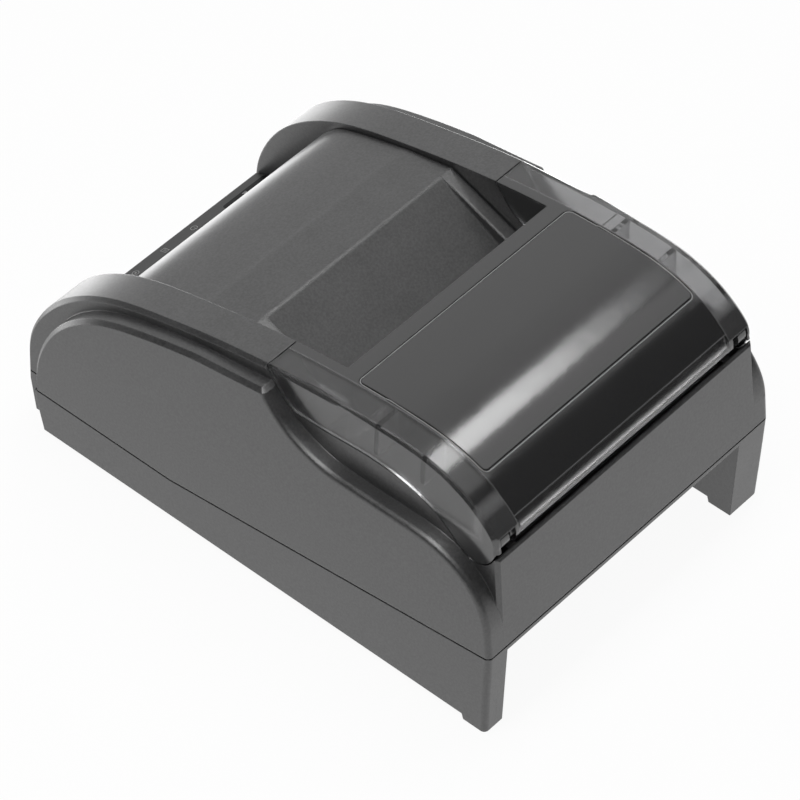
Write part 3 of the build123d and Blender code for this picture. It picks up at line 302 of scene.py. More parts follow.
def rounded_normal(tree, radius):
    """A normal that turns softly round the piece's edges."""
    return add(tree, "ShaderNodeBevel", samples=4, Radius=radius).outputs["Normal"]


def edge_share(normal, strength):
    """Grows towards the piece's edges, where the rounded normal leaves the flat one."""
    flat = add(normal.id_data, "ShaderNodeNewGeometry").outputs["Normal"]
    dot = add(normal.id_data, "ShaderNodeVectorMath", operation="DOT_PRODUCT")
    link(normal, dot.inputs[0])
    link(flat, dot.inputs[1])
    return ramp(dot.outputs["Value"], strength, 0.0, 0.80, 0.999)


def clouded(value, colour, low, high):
    """A colour that varies between two shares of itself."""
    return blend_colours(ramp(value, 0.0, 1.0), tone(colour, low), tone(colour, high))


def dress(shader, colour, roughness, height, distance, strength, normal):
    """Gives a shader its colour, its roughness and a fine relief over a normal."""
    relief = add(shader.id_data, "ShaderNodeBump", Strength=strength, Distance=distance)
    link(height, relief.inputs["Height"])
    link(normal, relief.inputs["Normal"])
    for name, socket in (("Base Color", colour), ("Roughness", roughness), ("Normal", relief.outputs[0])):
        link(socket, shader.inputs[name])


def moulded_plastic(name, colour, roughness, grain=0.00022, relief=0.000008, edge=0.0004, wear_and_highlight=0.25,
                    shine=0.80, speckle=0.05):
    """Moulded plastic: fine mould grain, faint flow clouds, and edges lighter and smoother, partly as wear
    and partly as a painted highlight.
    """
    mat, tree, shader, place = new_material(name)
    normal = rounded_normal(tree, edge)
    fine = noise(place, 0.5 / grain, 3.0, 0.6)
    flow = noise(place, 70.0, 3.0, 0.55)
    worn_and_highlit = edge_share(normal, wear_and_highlight)
    speck = join("ADD", ramp(flow, 0.0, 0.3), ramp(fine, 0.0, 0.7, 0.35, 0.65))
    base = blend_colours(speck, tone(colour, 1.0 - speckle), tone(colour, 1.0 + 1.1 * speckle))
    # Edges get a lighter colour: partly wear, partly a painted highlight
    plain, worn_highlit_colour, mixed = colour_mix(worn_and_highlit)
    link(base, plain)
    worn_highlit_colour.default_value = (*tone(colour, 1.5), 1.0)
    shader.inputs["IOR"].default_value = PLASTIC_IOR
    shader.inputs["Specular IOR Level"].default_value = shine
    rough = join("SUBTRACT", ramp(flow, roughness - 0.02, roughness + 0.03), worn_and_highlit)
    dress(shader, mixed, rough, fine, relief, 0.8, normal)
    return mat


def unworn_finish(name, colour, roughness, grain, relief, edge=0.0002, shine=0.80):
    """The smooth finish of a small part that nothing rubs, with neither the wear nor the painted highlight
    of lighter edges.
    """
    return moulded_plastic(name, colour, roughness, grain, relief, edge, 0.0, shine)


def ground_metal(name, colour, roughness, stretch=(60.0, 900.0, 900.0), relief=0.000004, edge=0.0002):
    """Metal with a fine grain along its length and a few cloudy marks."""
    mat, tree, shader, place = new_material(name)
    mapping = add(tree, "ShaderNodeMapping", Scale=stretch)
    link(place, mapping.inputs["Vector"])
    lines = noise(mapping.outputs[0], 4.0, 4.0, 0.7)
    marks = noise(place, 160.0, 3.0)
    shader.inputs["Metallic"].default_value = 1.0
    rough = ramp(lines, roughness - 0.07, roughness + 0.09)
    dress(shader, clouded(marks, colour, 0.86, 1.04), rough, lines, relief, 0.5, rounded_normal(tree, edge))
    return mat


def ground_rubber(name, colour, roughness):
    """Rubber with a dull, slightly powdery skin."""
    mat, tree, shader, place = new_material(name)
    fine = noise(place, 3200.0, 4.0, 0.7)
    dust = noise(place, 240.0, 4.0, 0.6)
    rough = ramp(dust, roughness - 0.06, roughness + 0.08)
    dress(shader, clouded(dust, colour, 0.8, 1.5), rough, fine, 0.00002, 0.7, rounded_normal(tree, 0.0004))
    return mat


def board_laminate(name):
    """Green board: solder mask over darker copper lines."""
    mat, tree, shader, place = new_material(name)
    lines = add(
        tree, "ShaderNodeTexBrick", Scale=260.0, Mortar_Size=0.10, Brick_Width=1.9, Row_Height=0.28)
    link(place, lines.inputs["Vector"])
    mask = blend_colours(lines.outputs["Fac"], (0.008, 0.085, 0.032), (0.022, 0.17, 0.07))
    rough = ramp(noise(place, 90.0), 0.28, 0.40)
    dress(shader, mask, rough, lines.outputs["Fac"], 0.00003, 0.6, rounded_normal(tree, 0.0002))
    return mat


def smoky_plastic(name, lid):
    """Smoky lid: polished, see-through at its side rims, darker in the middle and where it is thick."""
    mat, tree, shader, place = new_material(name)
    split = add(tree, "ShaderNodeSeparateXYZ")
    link(place, split.inputs[0])
    side = add(tree, "ShaderNodeMath", operation="ABSOLUTE")
    link(split.outputs["X"], side.inputs[0])
    inside = step(side.outputs[0], FIELD_EDGE, 0.0002, 1.0, 0.0)
    outside = step(side.outputs[0], FIELD_EDGE, 0.0002, 0.0, 1.0)
    above = step(split.outputs["Z"], LIP_TOP, 0.0002, 0.0, 1.0)
    low = step(split.outputs["Z"], ARM_LOW, 0.0010, THICK_SHARE, 0.0)
    rear = step(split.outputs["Y"], KNUCKLE_START, 0.0025, 0.0, THICK_SHARE)
    field = join("MULTIPLY", inside, above)
    thick = join("MULTIPLY", outside, join("MAXIMUM", low, rear))
    middle = join("MAXIMUM", field, thick)
    flow = noise(place, 55.0, 3.0, 0.5)
    rim_colour, field_colour, mixed = colour_mix(middle)
    for colour, socket in ((lid.tint, rim_colour), (lid.field, field_colour)):
        link(clouded(flow, colour, 0.96, 1.04), socket)
    link(ramp(middle, lid.clear, lid.field_clear, 0.0, 1.0), shader.inputs["Transmission Weight"])
    shader.inputs["IOR"].default_value = PLASTIC_IOR
    shader.inputs["Specular IOR Level"].default_value = 1.0
    rough = ramp(flow, lid.roughness - 0.006, lid.roughness + 0.008)
    fine = noise(place, 2000.0, 3.0, 0.6)
    dress(shader, mixed, rough, fine, 0.000012, 0.6, rounded_normal(tree, 0.00018))
    return mat


def clear_plastic(name, colour, clear, roughness):
    """Clear or milky plastic for the light pipes."""
    mat, _, shader, place = new_material(name)
    cloud = noise(place, 900.0, 2.0)
    link(clouded(cloud, colour, 0.93, 1.0), shader.inputs["Base Color"])
    shader.inputs["Transmission Weight"].default_value = clear
    shader.inputs["IOR"].default_value = 1.5
    link(ramp(cloud, roughness, roughness + 0.05), shader.inputs["Roughness"])
    return mat


def finish(material, *names):
    """Gives CAD nodes a material."""
    for name in names:
        slots = NODES[name].material_slots
        if not slots:
            raise RuntimeError(name + " has no material slot")
        for one in slots:
            one.material = material


# Mesh building

def put_in_scene(name, data):
    """A new object in the scene, at the origin."""
    obj = bpy.data.objects.new(name, data)
    bpy.context.scene.collection.objects.link(obj)
    return obj


def piece(name, mesh, material, body, replaces=()):
    """Puts a finished mesh in the scene, on its body."""
    obj = put_in_scene(name, mesh)
    mesh.materials.clear()
    mesh.materials.append(material)
    if replaces:
        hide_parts(*replaces)
    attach(obj, body)


def plain_mesh(name, bm):
    """Turns a bmesh into a mesh and frees it."""
    mesh = bpy.data.meshes.new(name)
    bm.to_mesh(mesh)
    bm.free()
    return mesh


def mesh_from(name, bm, smooth=True, angle=35.0):
    """A mesh from a bmesh, with outward faces and shaded by angle."""
    bmesh.ops.remove_doubles(bm, verts=bm.verts, dist=1e-7)
    bmesh.ops.recalc_face_normals(bm, faces=bm.faces)
    for face in bm.faces:
        face.smooth = smooth
    for edge in bm.edges:
        if len(edge.link_faces) == 2 and edge.calc_face_angle(0.0) > math.radians(angle):
            edge.smooth = False
    return plain_mesh(name, bm)


def evaluated_mesh(obj):
    """A plain mesh of an object with its modifiers applied."""
    bpy.context.view_layer.update()
    graph = bpy.context.evaluated_depsgraph_get()
    return bpy.data.meshes.new_from_object(obj.evaluated_get(graph), depsgraph=graph)


def strip_matrix(out):
    """The control strip's plane, a little out of its face: X runs across it and Y up its slope."""
    tilt = Matrix.Rotation(STRIP_TILT, 4, "X")
    return Matrix.Translation(STRIP_ORIGIN) @ tilt @ Matrix.Translation((0.0, 0.0, out))


def head_matrix(x, up, out):
    """A place on the print head: across, up it and away from the platen."""
    y_axis = Vector((0.0, -math.sin(HEAD_TILT), math.cos(HEAD_TILT)))
    z_axis = Vector((0.0, -math.cos(HEAD_TILT), -math.sin(HEAD_TILT)))
    turn = Matrix(((1, 0, 0), (0, y_axis.y, z_axis.y), (0, y_axis.z, z_axis.z))).to_4x4()
    return Matrix.Translation(HEAD_ORIGIN) @ turn @ Matrix.Translation((x, up, out))


# Geometry node trees

MATERIAL_INPUT = ("Material", "NodeSocketMaterial", None)


def new_tree(name, inputs):
    """A geometry node tree with named inputs and one geometry output."""
    tree = bpy.data.node_groups.new(name, "GeometryNodeTree")
    tree.is_modifier = True
    tree.interface.new_socket("Geometry", in_out="INPUT", socket_type="NodeSocketGeometry")
    for label, kind, default in inputs:
        socket = tree.interface.new_socket(label, in_out="INPUT", socket_type=kind)
        if default is not None:
            socket.default_value = default
    tree.interface.new_socket("Geometry", in_out="OUTPUT", socket_type="NodeSocketGeometry")
    start = add(tree, "NodeGroupInput")
    end = add(tree, "NodeGroupOutput")
    return tree, start, end


def close_tree(geometry, start, end):
    """Ends a tree in Realize Instances and Set Material, and gives it back."""
    tree = end.id_data
    real = add(tree, "GeometryNodeRealizeInstances")
    paint = add(tree, "GeometryNodeSetMaterial")
    link(geometry, real.inputs["Geometry"])
    wire((real, "Geometry", paint, "Geometry"), (start, "Material", paint, "Material"),
         (paint, "Geometry", end, "Geometry"))
    return tree


def copies_tree():
    """Copies one small part onto every point."""
    tree, start, end = new_tree("copies_on_points", [("Part", "NodeSocketObject", None), MATERIAL_INPUT])
    info = add(tree, "GeometryNodeObjectInfo")
    copy = add(tree, "GeometryNodeInstanceOnPoints")
    wire((start, "Part", info, "Object"), (start, "Geometry", copy, "Points"),
         (info, "Geometry", copy, "Instance"))
    return close_tree(copy.outputs["Instances"], start, end)


def coil_tree():
    """A round wire wound into a coil."""
    tree, start, end = new_tree("wound_spring", [
        ("Turns", "NodeSocketFloat", 4.0), ("Coil radius", "NodeSocketFloat", 0.002),
        ("Wire radius", "NodeSocketFloat", 0.0003), ("Length", "NodeSocketFloat", 0.005), MATERIAL_INPUT])
    spiral = add(tree, "GeometryNodeCurveSpiral", Resolution=28)
    circle = add(tree, "GeometryNodeCurvePrimitiveCircle", Resolution=10)
    coil = add(tree, "GeometryNodeCurveToMesh", Fill_Caps=True)
    wire((start, "Turns", spiral, "Rotations"), (start, "Coil radius", spiral, "Start Radius"),
         (start, "Coil radius", spiral, "End Radius"), (start, "Length", spiral, "Height"),
         (start, "Wire radius", circle, "Radius"), (spiral, "Curve", coil, "Curve"),
         (circle, "Curve", coil, "Profile Curve"))
    return close_tree(coil.outputs["Mesh"], start, end)


def row_tree():
    """A row of small blocks, for contacts and pins."""
    tree, start, end = new_tree("row_of_blocks", [
        ("Count", "NodeSocketInt", 4), ("Pitch", "NodeSocketFloat", 0.001),
        ("Size", "NodeSocketVector", (0.001, 0.001, 0.001)), MATERIAL_INPUT])
    line = add(tree, "GeometryNodeMeshLine")
    cube = add(tree, "GeometryNodeMeshCube")
    copy = add(tree, "GeometryNodeInstanceOnPoints")
    offset = add(tree, "ShaderNodeCombineXYZ")
    wire((start, "Pitch", offset, "X"), (start, "Count", line, "Count"),
         (offset, 0, line, "Offset"), (start, "Size", cube, "Size"),
         (line, "Mesh", copy, "Points"), (cube, "Mesh", copy, "Instance"))
    return close_tree(copy.outputs["Instances"], start, end)


def bead_tree():
    """A round bead along a closed path of edges."""
    tree, start, end = new_tree("bead_on_path", [("Radius", "NodeSocketFloat", 0.0002), MATERIAL_INPUT])
    path = add(tree, "GeometryNodeMeshToCurve")
    circle = add(tree, "GeometryNodeCurvePrimitiveCircle", Resolution=10)
    bead = add(tree, "GeometryNodeCurveToMesh")
    wire((start, "Geometry", path, "Mesh"), (start, "Radius", circle, "Radius"),
         (path, "Curve", bead, "Curve"), (circle, "Curve", bead, "Profile Curve"))
    return close_tree(bead.outputs["Mesh"], start, end)


def scatter_tree():
    """Small boxes scattered over a surface with a fixed seed, all square to the board."""
    tree, start, end = new_tree("scattered_parts", [
        ("Density", "NodeSocketFloat", 9000.0), ("Gap", "NodeSocketFloat", 0.004),
        ("Seed", "NodeSocketInt", 1), ("Size", "NodeSocketVector", (0.002, 0.001, 0.0006)), MATERIAL_INPUT])
    spread = add(tree, "GeometryNodeDistributePointsOnFaces", distribute_method="POISSON")
    cube = add(tree, "GeometryNodeMeshCube")
    copy = add(tree, "GeometryNodeInstanceOnPoints")
    quarter = add(tree, "FunctionNodeRandomValue", data_type="INT")
    least, most, drawn = quarter.inputs[4], quarter.inputs[5], quarter.outputs[2]
    least.default_value = 0
    most.default_value = 1
    angle = add(tree, "ShaderNodeMath", operation="MULTIPLY")
    angle.inputs[1].default_value = math.pi / 2
    vector = add(tree, "ShaderNodeCombineXYZ")
    rotation = add(tree, "FunctionNodeEulerToRotation")
    link(drawn, angle.inputs[0])
    link(angle.outputs[0], vector.inputs["Z"])
    link(vector.outputs[0], rotation.inputs[0])
    link(rotation.outputs[0], copy.inputs["Rotation"])
    wire((start, "Geometry", spread, "Mesh"), (start, "Density", spread, "Density Max"),
         (start, "Gap", spread, "Distance Min"), (start, "Seed", spread, "Seed"),
         (start, "Seed", quarter, "Seed"), (start, "Size", cube, "Size"),
         (spread, "Points", copy, "Points"), (cube, "Mesh", copy, "Instance"))
    return close_tree(copy.outputs["Instances"], start, end)


def run_tree(tree, mesh, values, name):
    """Runs a geometry node tree on a mesh and gives back a plain mesh."""
    holder = put_in_scene(name + "_making", mesh)
    modifier = holder.modifiers.new("making", "NODES")
    modifier.node_group = tree
    for item in tree.interface.items_tree:
        if item.item_type == "SOCKET" and item.in_out == "INPUT" and item.name in values:
            modifier[item.identifier] = values[item.name]
    holder.update_tag()
    made = evaluated_mesh(holder)
    made.name = name
    holder.modifiers.remove(modifier)
    bpy.data.objects.remove(holder)
    if not made.polygons:
        raise RuntimeError(name + " came out empty")
    return made


def points_mesh(name, places):
    """A mesh of loose points."""
    mesh = bpy.data.meshes.new(name)
    mesh.from_pydata([tuple(p) for p in places], [], [])
    return mesh


def screw_mesh(name, head_radius, head_height, shank_radius, shank_length, sizes):
    """A pan-head screw pointing down: domed head with a crossed recess, threaded shank."""
    bm = bmesh.new()
    dome = ((0.0, 1.0), (0.45, 0.97), (0.8, 0.78), (0.97, 0.42), (1.0, 0.0))
    profile = [(head_radius * across, head_height * up) for across, up in dome]
    profile.append((shank_radius, 0.0))
    turns = max(2, int(shank_length / sizes.thread_pitch))
    core = shank_radius * 0.8
    for i in range(turns):
        top = -shank_length * i / turns
        low = -shank_length * (i + 1) / turns
        profile.append((core, top + 0.25 * (low - top)))
        profile.append((shank_radius, top + 0.5 * (low - top)))
        profile.append((core, top + 0.75 * (low - top)))
    profile.append((core * 0.5, -shank_length))
    profile.append((0.0, -shank_length))
    steps = 20
    rings = []
    for radius, height in profile:
        if radius == 0.0:
            rings.append([bm.verts.new((0.0, 0.0, height))])
        else:
            rings.append([
                bm.verts.new((radius * math.cos(turn), radius * math.sin(turn), height))
                for turn in (2 * math.pi * k / steps for k in range(steps))])
    for a, b in zip(rings, rings[1:]):
        for k in range(steps):
            n = (k + 1) % steps
            corners = [a[k % len(a)], a[n % len(a)], b[n % len(b)], b[k % len(b)]]
            unique = list(dict.fromkeys(corners))
            if len(unique) > 2:
                bm.faces.new(unique)
    body = mesh_from(name, bm, angle=40.0)
    tool = cross_mesh(name + "_recess", head_radius * 0.58, head_height, sizes)
    return carved(name, body, tool)


def cross_mesh(name, reach, top, sizes):
    """The tool that cuts a crossed recess: two tapered bars through the head's top."""
    bm = bmesh.new()
    for turn in (0.0, math.pi / 2):
        bar = bmesh.ops.create_cube(bm, size=1.0)["verts"]
        bmesh.ops.scale(bm, vec=(2 * reach, sizes.recess_width, 2 * sizes.recess_depth), verts=bar)
        for vert in bar:
            if vert.co.z < 0:
                vert.co.x *= 0.35
        bmesh.ops.rotate(bm, cent=(0, 0, 0), matrix=Matrix.Rotation(turn, 3, "Z"), verts=bar)
        bmesh.ops.translate(bm, vec=(0, 0, top), verts=bar)
    return plain_mesh(name, bm)


def carved(name, body, tool):
    """The body's mesh with the tool's mesh cut out of it."""
    knife = put_in_scene(name + "_recess", tool)
    whole = put_in_scene(name, body)
    carve = whole.modifiers.new("recess", "BOOLEAN")
    carve.operation = "DIFFERENCE"
    carve.solver = "EXACT"
    carve.use_self = True
    carve.object = knife
    made = evaluated_mesh(whole)
    whole.modifiers.remove(carve)
    bpy.data.objects.remove(whole)
    bpy.data.objects.remove(knife)
    return made


def prism(bm, outline, low, high):
    """A closed prism over an outline of (x, y) points."""
    bottom = [bm.verts.new((x, y, low)) for x, y in outline]
    top = [bm.verts.new((x, y, high)) for x, y in outline]
    bm.faces.new(bottom[::-1])
    bm.faces.new(top)
    for k in range(len(outline)):
        bm.faces.new((bottom[k - 1], bottom[k], top[k], top[k - 1]))


def ring_outline(bm, outer, inner, low, high):
    """A closed frame between two outlines with the same number of points."""
    loops = [[bm.verts.new((x, y, z)) for x, y in points] for points, z in (
        (outer, low), (outer, high), (inner, high), (inner, low))]
    for a, b in zip(loops, loops[1:] + loops[:1]):
        for k in range(len(a)):
            bm.faces.new((a[k - 1], a[k], b[k], b[k - 1]))


def circle_points(x, y, radius, count=28, start=0.0, sweep=2 * math.pi):
    """Points round a circle, or along a part of it."""
    return [(x + radius * math.cos(turn), y + radius * math.sin(turn))
            for turn in (start + sweep * k / count for k in range(count))]


def box_outline(x, y, width, height):
    """A rectangle's four corners."""
    return [(x + i * width / 2, y + j * height / 2) for i, j in ((-1, -1), (1, -1), (1, 1), (-1, 1))]


def rounded_outline(x, y, width, height, radius, steps=6):
    """A rectangle with rounded corners, always the same number of points."""
    points = []
    for quarter, (i, j) in enumerate(((1, 1), (-1, 1), (-1, -1), (1, -1))):
        for k in range(steps + 1):
            angle = math.pi / 2 * (quarter + k / steps)
            points.append((x + i * (width / 2 - radius) + radius * math.cos(angle),
                           y + j * (height / 2 - radius) + radius * math.sin(angle)))
    return points


# Operators, one for each group of pieces

class PRINTER_OT_case(bpy.types.Operator):
    """Finishes both case shells and the rear recess"""
    bl_idname = "printer.case"
    bl_label = "Case"

    def execute(self, context):
        case = context.scene.printer.case
        shell = moulded_plastic(
            "case_plastic", case.colour, case.roughness, case.grain, 0.00003, case.edge,
            speckle=0.5)
        finish(shell, "upper_shell", "base_shell")
        return {"FINISHED"}


class PRINTER_OT_cover(bpy.types.Operator):
    """Finishes the cover over the mechanism and the paper cradle"""
    bl_idname = "printer.cover"
    bl_label = "Cover and cradle"

    def execute(self, context):
        case = context.scene.printer.case
        cover = moulded_plastic(
            "cover_plastic", tone(case.colour, 0.98), 0.36, case.grain, 0.000026, 0.0015, 0.10,
            speckle=0.5)
        finish(cover, "mech_cover")
        cradle = moulded_plastic(
            "cradle_plastic", tone(case.colour, 0.8), 0.5, case.grain * 1.6, 0.00001, 0.0004)
        finish(cradle, "roll_cradle")
        return {"FINISHED"}


class PRINTER_OT_lid(bpy.types.Operator):
    """Finishes the smoky lid, lays a pale bead in its groove as a painted highlight, and finishes the
    platen holder and the hinge pins
    """
    bl_idname = "printer.lid"
    bl_label = "Lid"

    def execute(self, context):
        lid = context.scene.printer.lid
        finish(smoky_plastic("lid_plastic", lid), "lid")
        # The bead is pale: a painted highlight along the inside of the field's groove
        bead_highlight_paint = unworn_finish(
            "bead_highlight_paint", (0.30, 0.30, 0.30), 0.30, 0.0002, 0.000002, 0.00005)
        made = run_tree(
            bead_tree(), self.groove_path(lid.groove), {"Radius": lid.bead, "Material": bead_highlight_paint},
            "groove_bead")
        bm = bmesh.new()
        bm.from_mesh(made)
        piece("groove_bead", mesh_from("groove_bead", bm, angle=80.0), bead_highlight_paint, "lid")
        finish(ground_metal("holder_steel", (0.060, 0.060, 0.063), 0.42), "platen_holder")
        finish(ground_metal("pin_black", (0.045, 0.045, 0.047), 0.45, (900.0, 60.0, 60.0)), "hinge_pins")
        finish(ground_metal("pin_steel", (0.68, 0.69, 0.71), 0.24, (900.0, 60.0, 60.0)), "pivot_pins",
               "platen_shaft", "gear_post", "motor_shaft")
        return {"FINISHED"}

    @staticmethod
    def groove_path(groove):
        """A closed path along the middle of the field's groove, just over its floor."""
        mesh = NODES["lid"].data
        surface = BVHTree.FromPolygons([v.co for v in mesh.vertices], [f.vertices for f in mesh.polygons])
        centre = (FIELD_REAR + FIELD_FRONT) / 2
        corners = rounded_outline(
            0.0, centre, FIELD_WIDTH - groove, FIELD_REAR - FIELD_FRONT - groove, FIELD_CORNER - groove / 2)
        path = []
        for (x0, y0), (x1, y1) in zip(corners, corners[1:] + corners[:1]):
            steps = max(1, int(math.hypot(x1 - x0, y1 - y0) / BEAD_STEP))
            for k in range(steps):
                above = Vector((x0 + (x1 - x0) * k / steps, y0 + (y1 - y0) * k / steps, 0.2))
                place, normal, _, _ = surface.ray_cast(above, Vector((0.0, 0.0, -1.0)))
                if place is None:
                    raise RuntimeError("the groove's floor was not found")
                path.append(tuple(place + normal * BEAD_HEIGHT))
        loop = bpy.data.meshes.new("groove_path")
        loop.from_pydata(path, [(k, (k + 1) % len(path)) for k in range(len(path))], [])
        return loop


class PRINTER_OT_strip(bpy.types.Operator):
    """Finishes the control strip, its button and its light windows, and prints plain pictograms"""
    bl_idname = "printer.strip"
    bl_label = "Control strip"

    def execute(self, context):
        case = context.scene.printer.case
        strip = moulded_plastic(
            "strip_plastic", tone(case.colour, 0.92), 0.50, case.grain, wear_and_highlight=0.1, shine=0.30)
        finish(strip, "control_strip")
        button = moulded_plastic(
            "button_plastic", tone(case.colour, 1.35), 0.34, case.grain, edge=0.0007, wear_and_highlight=0.4)
        finish(button, "feed_button")
        finish(clear_plastic("pipe_clear", (0.82, 0.86, 0.82), 0.55, 0.18), "light_pipes")
        print_ink = unworn_finish("print_ink", (0.20, 0.20, 0.198), 0.55, 0.0002, 0.000003, 0.00005)
        pictograms = mesh_from("strip_pictograms", self.pictograms(), smooth=False)
        pictograms.transform(strip_matrix(INK_LIFT))
        piece("strip_pictograms", pictograms, print_ink, "base")
        window_film = unworn_finish(
            "window_film", (0.003, 0.003, 0.0032), 0.45, 0.0002, 0.000002, 0.00005, shine=0.08)
        low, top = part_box("feed_button")
        middle = (low[0] + top[0]) / 2
        bm = bmesh.new()
        outer = rounded_outline(middle, *FILM_OUTSIDE)
        inner = rounded_outline(middle, *FILM_WINDOW)
        ring_outline(bm, outer, inner, 0.0, INK_HEIGHT)
        film = mesh_from("button_film", bm, smooth=False)
        film.transform(strip_matrix(INK_LIFT))
        piece("button_film", film, window_film, "base")
        return {"FINISHED"}

    @staticmethod
    def pictograms():
        """Plain printed signs: one below each light, and an arrow beside the button."""
        high = INK_HEIGHT
        power, sheet, ring = LIGHT_SIGNS_ACROSS
        y = LIGHT_SIGNS_UP
        bm = bmesh.new()
        gap = math.radians(120)
        turn = math.radians(300) * 24 / 23
        inside = circle_points(power, y, 0.00105, 24, gap, turn)
        prism(bm, circle_points(power, y, 0.0013, 24, gap, turn) + inside[::-1], 0.0, high)
        prism(bm, box_outline(power, y + 0.0008, 0.00028, 0.0016), 0.0, high)
        inside = box_outline(sheet, y, 0.00156, 0.00226)
        ring_outline(bm, box_outline(sheet, y, 0.002, 0.0027), inside, 0.0, high)
        for row in (-0.0005, 0.0, 0.0005):
            prism(bm, box_outline(sheet, y + row + 0.0001, 0.001, 0.0002), 0.0, high)
        ring_outline(bm, circle_points(ring, y, 0.0013), circle_points(ring, y, 0.00105), 0.0, high)
        prism(bm, circle_points(ring, y, 0.0004, 14), 0.0, high)
        x, y = BUTTON_SIGN
        arrow = [(x - 0.0009, y - 0.0004), (x + 0.0009, y - 0.0004), (x, y + 0.0009)]
        prism(bm, arrow, high * 1.2, high * 2.2)
        prism(bm, box_outline(x, y - 0.00078, 0.0018, 0.00026), high * 1.2, high * 2.2)
        return bm


class PRINTER_OT_mechanism(bpy.types.Operator):
    """Finishes the print line: frame, head, heat sink, tear bar, platen and gears"""
    bl_idname = "printer.mechanism"
    bl_label = "Mechanism"

    def execute(self, context):
        black = moulded_plastic(
            "frame_black", (0.020, 0.020, 0.021), 0.42, grain=0.0003, relief=0.000006, edge=0.0003)
        finish(black, "mech_frame")
        finish(ground_metal("motor_steel", (0.50, 0.51, 0.53), 0.42), "stepper_motor")
        finish(ground_metal("sheet_steel", (0.66, 0.67, 0.69), 0.25, (900.0, 60.0, 900.0)), "tear_bar")
        finish(ground_metal("sink_alu", (0.70, 0.71, 0.73), 0.40), "heat_sink")
        finish(unworn_finish("head_ceramic", (0.66, 0.63, 0.56), 0.20, 0.0003, 0.000002), "thermal_head")
        finish(unworn_finish("gear_white", (0.72, 0.71, 0.66), 0.42, 0.0002, 0.000004),
               "platen_gear", "idler_gear", "motor_pinion")
        finish(unworn_finish("part_ivory", (0.62, 0.59, 0.50), 0.45, 0.0002, 0.000004),
               "platen_bushings", "drawer_socket", "board_connectors", "switch_plunger")
        finish(ground_rubber("roller_rubber", (0.028, 0.028, 0.029), 0.62), "platen_roller")
        finish(unworn_finish("ribbon_film", (0.50, 0.24, 0.04), 0.30, 0.0004, 0.000003, 0.0001),
               "head_ribbon")
        return {"FINISHED"}


class PRINTER_OT_springs(bpy.types.Operator):
    """Winds the two springs behind the print head from round wire"""
    bl_idname = "printer.springs"
    bl_label = "Head springs"

    def execute(self, context):
        sizes = context.scene.printer.springs
        steel = ground_metal("spring_steel", (0.52, 0.53, 0.55), 0.28)
        tree = coil_tree()
        bm = bmesh.new()
        for x in SPRINGS_ACROSS:
            coil = run_tree(tree, points_mesh("coil_seed", [(0, 0, 0)]), {
                "Turns": sizes.turns, "Coil radius": sizes.coil, "Wire radius": sizes.wire,
                "Length": sizes.length, "Material": steel}, "coil")
            coil.transform(head_matrix(x, SPRINGS_UP, SPRINGS_BEHIND))
            bm.from_mesh(coil)
        mesh = mesh_from("spring_coils", bm, angle=60.0)
        piece("spring_coils", mesh, steel, "head", ["head_springs"])
        return {"FINISHED"}


class PRINTER_OT_screws(bpy.types.Operator):
    """Sets crossed pan-head screws in place of the plain ones"""
    bl_idname = "printer.screws"
    bl_label = "Screws"

    def execute(self, context):
        sizes = context.scene.printer.screws
        steel = ground_metal("screw_steel", (0.46, 0.47, 0.49), 0.34, (400.0, 400.0, 400.0))
        tree = copies_tree()
        dark = ground_metal("black_screw", (0.05, 0.05, 0.052), 0.36, (400.0, 400.0, 400.0))
        # Node, body, finish, whether the head is below, head radius and height, shank radius
        groups = (
            ("case_screws", "base", steel, True, 0.0028, 0.0024, 0.00125),
            ("frame_screws", "base", steel, False, 0.0026, 0.0016, 0.00125),
            ("board_screws", "base", steel, False, 0.0022, 0.0013, 0.0010),
            ("cradle_screws", "base", steel, False, 0.0022, 0.0012, 0.0010),
            ("holder_screws", "lid", dark, True, 0.0024, 0.0013, 0.0010),
        )
        for name, body, metal, head_below, head, height, shank in groups:
            bm = bmesh.new()
            for low, high in self.places(name):
                reach = high.z - low.z - height - 0.0001
                part_mesh = screw_mesh(name + "_one", head, height, shank, reach, sizes)
                part = put_in_scene(name + "_one", part_mesh)
                if head_below:
                    part_mesh.transform(Matrix.Rotation(math.pi, 4, "X"))
                seat = low.z + height if head_below else high.z - height
                places = [((low.x + high.x) / 2, (low.y + high.y) / 2, seat)]
                made = run_tree(tree, points_mesh(name + "_points", places), {
                    "Part": part, "Material": steel}, name + "_copy")
                bm.from_mesh(made)
                bpy.data.objects.remove(part)
            mesh = mesh_from(name + "_cross", bm, angle=40.0)
            piece(name + "_cross", mesh, metal, body, [name])
        finish(steel, "panel_screws")
        return {"FINISHED"}

    @staticmethod
    def places(name):
        """The box of each separate screw in a CAD node."""
        mesh = NODES[name].data
        bm = bmesh.new()
        bm.from_mesh(mesh)
        bmesh.ops.remove_doubles(bm, verts=bm.verts, dist=1e-6)
        seen = set()
        boxes = []
        for vert in bm.verts:
            if vert in seen:
                continue
            group = [vert]
            seen.add(vert)
            for one in group:
                for edge in one.link_edges:
                    other = edge.other_vert(one)
                    if other not in seen:
                        seen.add(other)
                        group.append(other)
            low = Vector((min(v.co[i] for v in group) for i in range(3)))
            high = Vector((max(v.co[i] for v in group) for i in range(3)))
            for k, (a, b) in enumerate(boxes):
                if all(low[i] <= b[i] + 1e-5 and high[i] >= a[i] - 1e-5 for i in range(3)):
                    boxes[k] = (Vector(map(min, a, low)), Vector(map(max, b, high)))
                    break
            else:
                boxes.append((low, high))
        bm.free()
        return boxes


